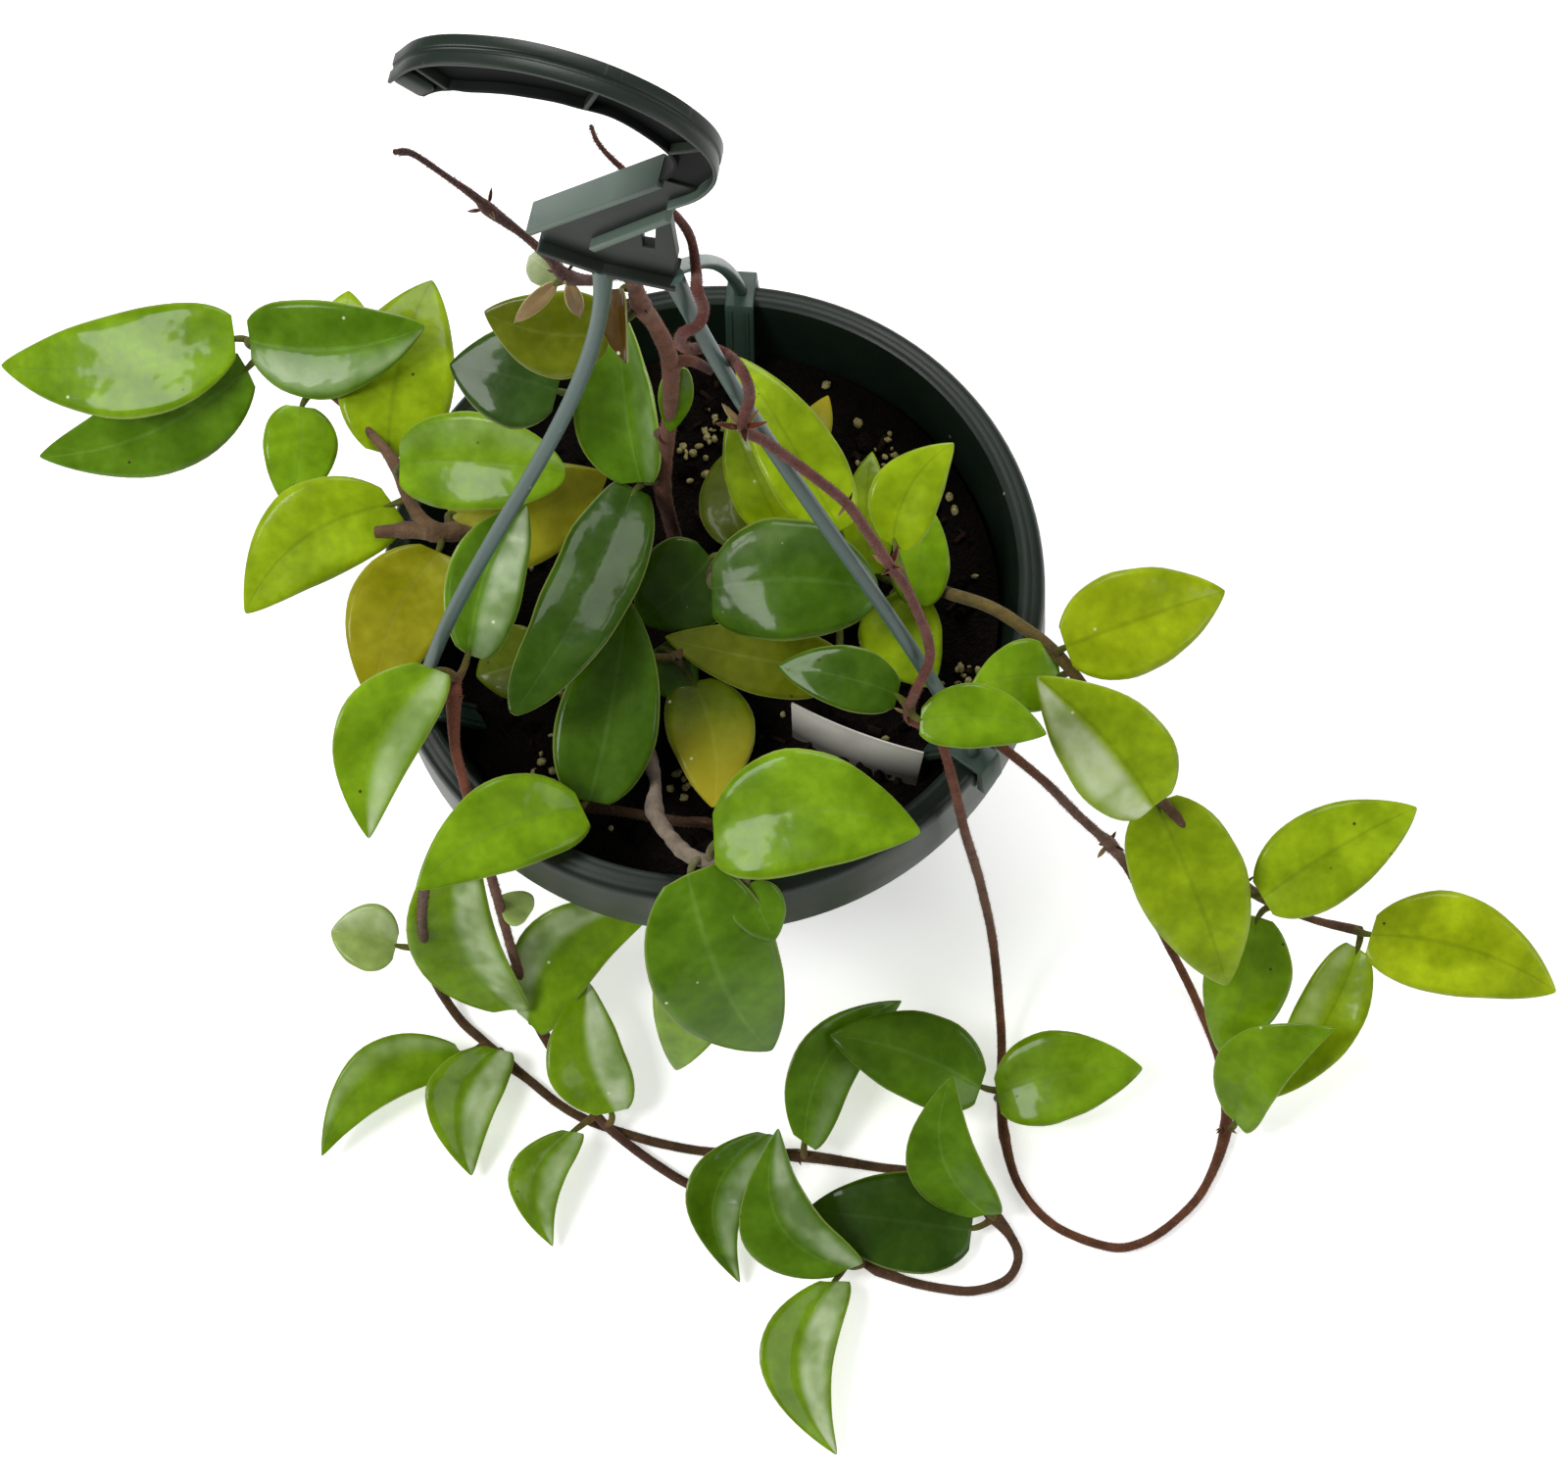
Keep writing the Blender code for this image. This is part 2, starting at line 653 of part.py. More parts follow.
CLIMBING_STEM = {
    "radius": 2.3,
    "stems": [
        [(690, 556, 115), (683, 528, 134), (676, 497, 156, 1.15), (680, 455, 184), (684, 415, 212),
         (683, 366, 246, 1.1), (668, 331, 268), (654, 312, 284, 1.2), (645, 286, 300, 0.85),
         (630, 280, 318, 0.6), (604, 286, 330, 0.6), (577, 281, 342, 0.85), (559, 262, 352, 0.5),
         (533, 239, 362, 0.5), (499, 214, 374, 0.85), (485, 201, 380, 0.45), (457, 181, 390, 0.4),
         (423, 158, 402, 0.4), (403, 155, 408, 0.6)],
    ],
    "side_stems": [
        [(682, 372, 244, 0.9), (704, 368, 242, 0.7), (726, 378, 236, 0.6)],
        [(679, 446, 192, 0.9), (664, 436, 176, 0.7), (640, 424, 166, 0.6), (606, 410, 170, 0.6), (582, 402, 186, 0.55)],
    ],
    "leaves": [
        leaf((648, 492, 164), (523, 730, 176), 26, 6, 0.14, 0.05, 0.04, 0.7),
        leaf((656, 497, 166), (634, 314, 194), 29, -32, 0.6, 0.03, 0.02),
        leaf((626, 338, 284), (494, 318, 290), 25, -16, 0.12, 0.06, 0.07),
        leaf((633, 292, 292), (640, 371, 282), 11, 50, 0.5, 0.05),
        leaf((572, 400, 204), (459, 372, 206), 30, 0, 0.1, 0.05, -0.03),
        leaf((694, 372, 230), (684, 440, 200), 10, 0, 0.15, 0.02),
        leaf((568, 288, 338), (525, 329, 326), 7, 0, 0.3, 0.05),
        leaf((580, 288, 338), (592, 324, 326), 6, 0, 0.3, 0.05),
        leaf((572, 284, 336), (541, 262, 322), 10, 0, 0.2, 0.05),
    ],
}

CENTRE_STEM = {
    "radius": 1.8,
    "stems": [
        [(742, 640, 115), (738, 618, 132), (728, 590, 148, 1.2), (742, 562, 150), (772, 548, 150),
         (822, 553, 150), (856, 548, 152, 0.9)],
    ],
    "side_stems": [
        [(735, 612, 136), (712, 640, 138), (690, 672, 138, 0.9)],
    ],
    "leaves": [
        leaf((722, 602, 160), (897, 604, 160), 37, 0, 0.06, 0.1, 0.07, 0.8),
        leaf((727, 566, 150), (650, 634, 140), 30, 0, 0.1, 0.04, 0.05),
        leaf((668, 660, 133), (707, 716, 127), 17, 0, 0.1, 0.04),
        leaf((866, 686, 132), (678, 650, 140), 22, 0, 0.15, 0.03, 0.02),
        leaf((860, 548, 158), (752, 364, 172), 25, 12, 0.12, 0.05, 0.0),
        leaf((800, 545, 146), (744, 424, 162), 20, -8, 0.12, 0.05),
        leaf((756, 560, 138), (741, 462, 128), 22, 0, 0.15, 0.04),
        leaf((812, 480, 138), (845, 404, 130), 12, 0, 0.15, 0.02),
        leaf((706, 692, 129), (728, 825, 124), 27, 0, 0.12, 0.04, 0.08),
        leaf((560, 668, 136), (486, 690, 132), 24, 0, 0.12, 0.04),
    ],
}

RIGHT_SPRAY = {
    "radius": 2.0,
    "stems": [
        [(915, 590, 115), (935, 594, 126), (967, 605, 140), (1007, 618, 150), (1038, 636, 153),
         (1079, 668, 152, 1.0), (1122, 722, 146, 0.7), (1160, 775, 134, 0.7), (1184, 815, 118, 0.9),
         (1228, 862, 98, 0.65), (1272, 906, 76, 0.95), (1330, 935, 56, 0.6), (1388, 950, 44, 0.85)],
    ],
    "side_stems": [],
    "leaves": [
        leaf((1082, 662, 156), (1250, 603, 150), 32, 0, 0.1, 0.05, 0.01),
        leaf((1084, 690, 148), (991, 700, 152), 22, 0, 0.1, 0.05, -0.05),
        leaf((1180, 826, 128), (1058, 690, 160), 33, -10, 0.2, 0.05, -0.06),
        leaf((1176, 812, 114), (1252, 1006, 62), 35, 0, 0.14, 0.04, 0.02),
        leaf((1284, 920, 84), (1446, 824, 92), 30, 0, 0.12, 0.05, 0.03),
        leaf((1392, 954, 50), (1588, 1012, 42), 33, 0, 0.12, 0.05, 0.08),
        leaf((1282, 930, 58), (1246, 1076, 16), 28, 0, 0.12, 0.05, 0.04),
        leaf((1388, 962, 42), (1290, 1122, 8), 22, 0, 0.3, 0.05, 0.06),
        leaf((936, 620, 140), (950, 519, 152), 18, 0, 0.12, 0.1, 0.03),
        leaf((890, 590, 140), (890, 461, 146), 16, 0, 0.12, 0.05, 0.05),
        leaf((905, 606, 130), (952, 702, 128), 26, 0, 0.1, 0.04, -0.05),
    ],
}

RIGHT_LOOP = {
    "radius": 1.45,
    "stems": [
        [(962, 712, 115), (984, 726, 136), (1008, 750, 152), (1064, 796, 138), (1098, 830, 106), (1120, 850, 84),
         (1133, 862, 68, 1.5), (1152, 888, 46), (1190, 960, 14), (1220, 1020, 3), (1245, 1085, 3),
         (1251, 1150, 3, 1.4), (1230, 1210, 3), (1200, 1245, 3), (1165, 1268, 3), (1130, 1272, 3),
         (1075, 1250, 3), (1040, 1210, 3), (1025, 1160, 4, 1.2), (1022, 1120, 5, 1.2), (1022, 1065, 10),
         (1020, 1030, 16), (1013, 960, 44), (1000, 900, 88), (985, 850, 134), (973, 800, 158),
         (960, 757, 165), (944, 742, 168), (927, 731, 170, 1.5)],
    ],
    "climb": [(927, 731, 170), (935, 704, 10), (948, 676, 10), (947, 653, 8), (937, 626, 8), (923, 597, 8),
              (909, 578, 8), (884, 541, 8), (864, 514, 8), (835, 490, 8), (808, 470, 7), (780, 450, 7),
              (758, 436, 7), (765, 405, 8), (758, 380, 9), (742, 362, -8), (722, 355, -9), (704, 356, -8),
              (694, 350, -2), (697, 340, 6), (712, 332, 10), (718, 316, 9), (711, 294, 9)],
    "hub_stops": [(12.5, -3, 3), (10, 5, 9), (4, 20, 9), (-4, 33, 9), (-8, 42, 9), (-9, 50, 9)],
    "leaves": [
        leaf((1262, 1150, 8), (1362, 1049, 48), 24, 0, 0.2, 0.06, 0.18),
        leaf((1014, 1120, 12), (1166, 1090, 18), 30, 0, 0.12, 0.08, 0.06),
        leaf((1004, 1112, 14), (846, 1056, 26), 30, 0, 0.14, 0.08, -0.06),
        leaf((920, 710, 170), (793, 680, 170), 19, 0, 0.2, 0.06, -0.04),
        leaf((935, 737, 180), (1068, 749, 176), 19, 0, 0.1, 0.06, 0.09),
        leaf((911, 560, 214), (973, 452, 226), 20, 0, 0.15, 0.06, 0.13),
    ],
}

LEFT_LOOP = {
    "radius": 1.55,
    "stems": [
        [(728, 846, 115), (690, 838, 121), (640, 829, 124), (598, 824, 130), (568, 828, 140), (540, 836, 148),
         (478, 858, 154), (440, 890, 134), (431, 925, 94), (432, 955, 58), (438, 985, 30), (450, 1012, 10),
         (471, 1042, 3), (493, 1062, 3), (514, 1082, 3, 1.4), (541, 1103, 3), (568, 1125, 3), (595, 1141, 3),
         (630, 1154, 3), (675, 1167, 3), (730, 1176, 3), (814, 1179, 3, 1.3), (896, 1191, 3), (939, 1197, 3),
         (985, 1215, 3), (1014, 1241, 3, 1.5), (1032, 1263, 3), (1039, 1284, 3), (1027, 1306, 3), (995, 1317, 3),
         (962, 1315, 3), (925, 1307, 3), (896, 1295, 4, 1.4), (872, 1283, 4), (820, 1258, 3), (760, 1234, 3),
         (702, 1208, 3), (675, 1192, 3), (648, 1173, 4), (621, 1151, 7), (600, 1127, 8), (581, 1100, 6),
         (565, 1074, 5), (549, 1042, 10, 1.4), (527, 985, 36), (510, 925, 84), (500, 889, 118), (490, 849, 146),
         (480, 822, 156), (472, 793, 162), (464, 760, 167), (463, 712, 171, 1.5), (466, 694, 172)],
    ],
    "side_stems": [],
    "leaves": [
        leaf((447, 678, 184), (376, 856, 168), 26, -6, 0.3, 0.05, -0.17),
        leaf((478, 674, 168), (537, 516, 162), 25, 14, 0.4, 0.05, 0.1),
        leaf((599, 824, 138), (641, 610, 152), 31, 0, 0.15, 0.05, -0.02),
        leaf((600, 826, 146), (424, 908, 158), 28, 0, 0.14, 0.06, -0.11),
        leaf((540, 1050, 16), (680, 920, 40), 28, 10, 0.25, 0.06, 0.2),
        leaf((528, 1034, 22), (488, 824, 90), 30, -12, 0.3, 0.05, 0.18),
        leaf((540, 934, 76), (510, 914, 84), 12, 0, 0.2, 0.05),
        leaf((478, 1076, 8), (328, 1180, 8), 21, -6, 0.2, 0.07, -0.21),
        leaf((512, 1068, 10), (481, 1200, 6), 25, -10, 0.32, 0.06, -0.23),
        leaf((628, 1138, 12), (600, 1002, 26), 27, 8, 0.22, 0.07, 0.15),
        leaf((588, 1152, 12), (564, 1272, 4), 19, -14, 0.35, 0.07, -0.29),
        leaf((406, 966, 46), (338, 950, 50), 22, 0, 0.3, 0.05, -0.04, 0.4),
        leaf((820, 1172, 10), (920, 1021, 16), 23, 14, 0.3, 0.06, 0.19),
        leaf((1012, 1242, 8), (972, 1096, 42), 25, -14, 0.3, 0.05, 0.18),
        leaf((996, 1256, 6), (824, 1234, 10), 33, 0, 0.14, 0.07, 0.0),
        leaf((872, 1296, 12), (794, 1151, 42), 27, -10, 0.3, 0.05, 0.25),
        leaf((856, 1303, 8), (854, 1485, 4), 25, -10, 0.35, 0.07, -0.26),
        leaf((790, 1154, 14), (755, 1309, 4), 21, -12, 0.4, 0.07, -0.31),
    ],
}

FRONT_STEM = {
    "radius": 2.2,
    "stems": [
        [(660, 764, 115), (664, 778, 124, 1.1), (669, 800, 132, 0.9), (668, 828, 140, 1.2), (684, 854, 147, 1.0),
         (702, 872, 152, 1.1), (728, 881, 155, 0.9), (760, 890, 156, 1.1)],
    ],
    "side_stems": [],
    "leaves": [
        leaf((700, 884, 160), (787, 1072, 92), 40, 0, 0.12, 0.08, -0.06),
        leaf((738, 893, 151), (690, 1092, 68), 27, 0, 0.12, 0.06, 0.0),
        leaf((762, 900, 151), (790, 960, 138), 16, 0, 0.1, 0.06),
        leaf((723, 860, 162), (940, 849, 168), 37, 0, 0.16, 0.06, 0.13),
    ],
}

PLANT = {
    "left_spray": LEFT_SPRAY,
    "climbing_stem": CLIMBING_STEM,
    "centre_leaves": CENTRE_STEM,
    "right_spray": RIGHT_SPRAY,
    "right_loop_vine": RIGHT_LOOP,
    "left_loop_vine": LEFT_LOOP,
    "front_woody_stem": FRONT_STEM,
}


def climb_route(plan):
    """The part of the right loop vine that goes up and round the right strand and behind the fan plate."""
    first, *others = plan["climb"]
    behind = [hook_point(sideways, rise) + hook_across() * back * MM for sideways, rise, back in plan["hub_stops"]]
    return [first, *(beside_strand(*stop) for stop in others), *behind]


def make_leafy_stem(name, plan, leaf_green, roots):
    """A stem with its leaves, joined as one solid."""
    radius = plan["radius"] * MM
    stops = rooted(plan["stems"][0], radius, roots)
    if "climb" in plan:
        stops = stops[:-1] + climb_route(plan)
    routes = [stem_route(stops)]
    routes += [stem_route(side) for side in plan.get("side_stems", [])]
    section = round_section(radius, STEM_SIDES if radius > THIN_STEM else STEM_SIDES - 1)
    stem = swept(name, routes[0], section)
    pieces = [swept("side", route, section) for route in routes[1:]]
    for index, blade in enumerate(plan["leaves"]):
        pieces.append(make_blade(f"blade_{index}", blade))
        pieces.append(make_stalk(blade, routes))
    apply_boolean(stem, pieces, "UNION", "MANIFOLD")
    stem.data.materials.clear()
    stem.data.materials.append(leaf_green)
    return stem


def main():
    for old in list(bpy.data.objects):
        bpy.data.objects.remove(old)
    pot_plastic = material("pot_plastic", (0.022, 0.04, 0.032), 0.4)
    hanger_plastic = material("hanger_plastic", (0.09, 0.16, 0.13), 0.4)
    potting_mix = material("potting_mix", (0.012, 0.009, 0.007), 0.95)
    card = material("white_card", (0.8, 0.8, 0.78), 0.35)
    leaf_green = material("waxy_leaf", (0.13, 0.3, 0.03), 0.3)
    make_pot(pot_plastic)
    make_hanger(hanger_plastic)
    roots = []
    for name, plan in PLANT.items():
        make_leafy_stem(name, plan, leaf_green, roots)
    make_soil(potting_mix, roots)
    label = label_block("plant_label", 0)
    label.data.materials.append(card)


main()
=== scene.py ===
import math
import random

import bpy
from mathutils import Matrix, Vector, noise


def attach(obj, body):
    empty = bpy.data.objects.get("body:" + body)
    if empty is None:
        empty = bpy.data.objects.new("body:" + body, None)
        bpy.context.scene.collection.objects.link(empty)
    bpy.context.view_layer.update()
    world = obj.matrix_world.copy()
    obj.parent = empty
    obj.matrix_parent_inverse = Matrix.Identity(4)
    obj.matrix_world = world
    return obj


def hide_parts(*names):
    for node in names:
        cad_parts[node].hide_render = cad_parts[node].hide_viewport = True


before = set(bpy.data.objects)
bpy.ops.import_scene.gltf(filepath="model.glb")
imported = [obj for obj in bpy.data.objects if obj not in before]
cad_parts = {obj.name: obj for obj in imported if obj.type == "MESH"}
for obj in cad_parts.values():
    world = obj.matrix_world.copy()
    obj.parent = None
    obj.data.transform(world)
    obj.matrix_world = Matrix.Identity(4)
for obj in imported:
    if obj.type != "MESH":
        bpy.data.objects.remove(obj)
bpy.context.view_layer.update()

# A wax plant in a moulded hanging pot: fleshy waxy leaves on hairy brown vines, a satin plastic hanger,
# dark potting mix with perlite and a bare white card. Lengths are in millimetres times MM.

MM = 0.001

# Sizes that the model was built from
RIM_RADIUS = 103 * MM
RIM_HEIGHT = 140 * MM
RIM_LIP = 8.5 * MM
SKIRT_DROP = 32 * MM
WALL = 2 * MM
BASE_RADIUS = 68 * MM
FLOOR = 4.5 * MM
DRAIN_HOLES = 6
DRAIN_RADIUS = 4 * MM
DRAIN_RING = 45 * MM
SOIL_TOP = 115 * MM
GAP = 0.35 * MM
ROOT_DEPTH = 24 * MM
HUB_HEIGHT = 372
STRAND_RADIUS = 2.1 * MM
CLIP_TURNS = {"left": 197, "rear": 76, "right": 315}
CLIP_WIDTH = 9 * MM
CLIP_WALL = 2.2 * MM
HOOK_TURN = math.radians(-20)
HOOK_WIDTH = 7.5 * MM
HOOK_DEPTH = 10.2 * MM
HOOK_WALL = 1.8 * MM
SURFACE = 0.45 * MM
BLADE_BASE = 0.52
BLADE_TIP = 0.85

# The photographed view: places are (column, row) in its frame, seen from 1 m
FRAME = (1600, 1501)
FRAME_TARGET = Vector((14.8 * MM, -54 * MM, RIM_HEIGHT))
FRAME_FOCAL = 3374
ELEVATION = math.radians(70.2)
ROLL = math.radians(-9.2)
BACK = Vector((0, -math.cos(ELEVATION), math.sin(ELEVATION)))
LEVEL = Vector((1, 0, 0))
RIGHT = LEVEL * math.cos(ROLL) + BACK.cross(LEVEL) * math.sin(ROLL)
UP = BACK.cross(LEVEL) * math.cos(ROLL) - LEVEL * math.sin(ROLL)
EYE = FRAME_TARGET + BACK


def sight(column, row, height_mm):
    """The point at this height that shows at this column and row of the photographed view."""
    across, down = (column - FRAME[0] / 2) / FRAME_FOCAL, (row - FRAME[1] / 2) / FRAME_FOCAL
    ray = -BACK + RIGHT * across - UP * down
    return EYE + ray * ((height_mm * MM - EYE.z) / ray.z)


def shown_at(point):
    """The column and row at which a point shows."""
    away = point - EYE
    scale = -FRAME_FOCAL / away.dot(BACK)
    return Vector((FRAME[0] / 2 + scale * away.dot(RIGHT), FRAME[1] / 2 - scale * away.dot(UP)))


# Tools of the bench


def only(made):
    """Leaves this object alone selected and active."""
    bpy.ops.object.select_all(action="DESELECT")
    made.select_set(True)
    bpy.context.view_layer.objects.active = made
    return made


def join(name, parts):
    """Joins the parts into one object with its place in its mesh."""
    bpy.ops.object.select_all(action="DESELECT")
    for part in parts:
        part.select_set(True)
    bpy.context.view_layer.objects.active = parts[0]
    if len(parts) > 1:
        bpy.ops.object.join()
    parts[0].name = name
    parts[0].data.name = name
    bpy.ops.object.transform_apply(location=True, rotation=True, scale=True)
    return parts[0]


def axes_at(place, *axes):
    """The matrix that takes x, y and z to these axes and the origin to this place."""
    matrix = Matrix(axes).transposed().to_4x4()
    matrix.translation = place
    return matrix


def fresh(name, primitive, **settings):
    """A new primitive of this name, added with nothing else selected."""
    bpy.ops.object.select_all(action="DESELECT")
    primitive(location=(0, 0, 0), **settings)
    made = bpy.context.active_object
    made.name = name
    return made


def put(made, matrix):
    """Moves an object by a matrix and fixes the place in its mesh."""
    only(made)
    made.matrix_world = matrix @ made.matrix_world
    bpy.context.view_layer.update()
    bpy.ops.object.transform_apply(location=True, rotation=True, scale=True)
    return made


def applied(made, kind, **settings):
    """Adds a modifier with these settings and applies it."""
    only(made)
    step = made.modifiers.new(kind.lower(), kind)
    for key, value in settings.items():
        setattr(step, key, value)
    bpy.ops.object.modifier_apply(modifier=step.name)
    return made


def smooth(made, degrees=35):
    """Shades a piece smooth up to this angle."""
    only(made)
    bpy.ops.object.shade_smooth_by_angle(angle=math.radians(degrees))
    return made


def edit(made):
    """Opens a mesh in edit mode with all of it selected."""
    only(made)
    bpy.ops.object.mode_set(mode="EDIT")
    bpy.ops.mesh.select_all(action="SELECT")


def done():
    bpy.ops.object.mode_set(mode="OBJECT")


def face_out(made):
    """Turns every face of a closed mesh outwards."""
    done()
    edit(made)
    bpy.ops.mesh.normals_make_consistent(inside=False)
    done()


def finished(made, finish):
    """Gives a piece this finish alone."""
    made.data.materials.clear()
    made.data.materials.append(finish)
    return made


def fasten(made, node=None, finish=None):
    """Lets a piece ride on the body, replace a CAD node and take its finish."""
    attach(made, "root")
    if node:
        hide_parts(node)
    return finished(made, finish) if finish else made


def lathe(name, profile, sides):
    """A closed round piece drawn up ring by ring through (radius, height) points in millimetres."""
    (radius, height), *others = profile
    circle = {"vertices": sides, "radius": radius * MM, "fill_type": "NGON"}
    made = fresh(name, bpy.ops.mesh.primitive_circle_add, **circle)
    edit(made)
    bpy.ops.transform.translate(value=(0, 0, height * MM))
    for next_radius, next_height in others:
        step = (0, 0, (next_height - height) * MM)
        bpy.ops.mesh.extrude_region_move(TRANSFORM_OT_translate={"value": step})
        scale = next_radius / radius
        bpy.ops.transform.resize(value=(scale, scale, 1), center_override=(0, 0, next_height * MM))
        radius, height = next_radius, next_height
    face_out(made)
    return made


def line_curve(name, runs, depth=0.0, sides=12, cyclic=False, flat=False):
    """A curve object of straight-jointed splines; each run is a list of (point, radius factor)."""
    line = bpy.data.curves.new(name, "CURVE")
    line.dimensions = "2D" if flat else "3D"
    line.bevel_depth = depth
    line.bevel_resolution = (sides - 4) // 2
    line.use_fill_caps = not flat
    for run in runs:
        spline = line.splines.new("POLY")
        spline.points.add(len(run) - 1)
        for spot, (point, factor) in zip(spline.points, run):
            spot.co = (*point, 1)
            spot.radius = factor
        spline.use_cyclic_u = cyclic
    made = bpy.data.objects.new(name, line)
    bpy.context.scene.collection.objects.link(made)
    return only(made)


def tube(name, run, depth, sides=12):
    """A round tube along a run of (point, radius factor), as a mesh."""
    line_curve(name, [run], depth, sides)
    bpy.ops.object.convert(target="MESH")
    return bpy.context.active_object


def plate(name, outlines, thickness, edge, matrix):
    """A flat plate with rounded edges and holes, from closed outlines in millimetres, put in place."""
    runs = [[((x * MM, y * MM, 0), 1) for x, y in outline] for outline in outlines]
    made = line_curve(name, runs, edge * MM, 8, cyclic=True, flat=True)
    made.data.fill_mode = "BOTH"
    made.data.extrude = (thickness / 2 - edge) * MM
    made.data.offset = -edge * MM
    bpy.ops.object.convert(target="MESH")
    made = bpy.context.active_object
    edit(made)
    bpy.ops.mesh.remove_doubles(threshold=0.01 * MM)
    face_out(made)
    return put(made, matrix)


def rounded_bar(name, start, end, width, thickness, across):
    """A bar with rounded edges between two points, width across and thickness the other way."""
    made = fresh(name, bpy.ops.mesh.primitive_cube_add, size=1)
    along = end - start
    through = along.normalized().cross(across) * thickness
    put(made, axes_at((start + end) / 2, along, across * width, through))
    face_out(made)
    return applied(made, "BEVEL", width=min(width, thickness) * 0.22, segments=3)


def smooth_route(stops, step):
    """Even points with size factors along a smooth curve through (point, factor) stops."""
    points = [point for point, _ in stops]
    padded = [points[0] * 2 - points[1], *points, points[-1] * 2 - points[-2]]
    route = []
    for index in range(len(points) - 1):
        before, start, end, after = padded[index : index + 4]
        count = max(1, round((end - start).length / step))
        for part in range(count):
            t = part / count
            bend = (before * 2 - start * 5 + end * 4 - after) * t**2
            bend += (start * 3 - before - end * 3 + after) * t**3
            ease = t * t * (3 - 2 * t)
            factor = stops[index][1] * (1 - ease) + stops[index + 1][1] * ease
            route.append((start + (end - before) * t / 2 + bend / 2, factor))
    route.append(stops[-1])
    return route


# Finishes


def srgb(code):
    """A linear colour from an sRGB hex code."""
    parts = [int(code[index : index + 2], 16) / 255 for index in (1, 3, 5)]
    return (*(p / 12.92 if p <= 0.04045 else ((p + 0.055) / 1.055) ** 2.4 for p in parts), 1)


def add(tree, kind, inputs=None, **settings):
    """A shader node with its settings; each input takes a value or the output of another node."""
    made = tree.nodes.new("ShaderNode" + kind)
    for key, value in settings.items():
        setattr(made, key, value)
    for key, value in (inputs or {}).items():
        if isinstance(value, bpy.types.NodeSocket):
            tree.links.new(value, made.inputs[key])
        else:
            made.inputs[key].default_value = value
    return made.outputs


def finish(name, **sockets):
    """A new material with these values on its shader's own sockets."""
    made = bpy.data.materials.new(name)
    made.use_nodes = True
    shader = made.node_tree.nodes["Principled BSDF"]
    for key, value in sockets.items():
        shader.inputs[key.replace("_", " ")].default_value = value
    return made, made.node_tree, shader


# a range whose ends run out softly
SOFT = {"interpolation_type": "SMOOTHSTEP"}


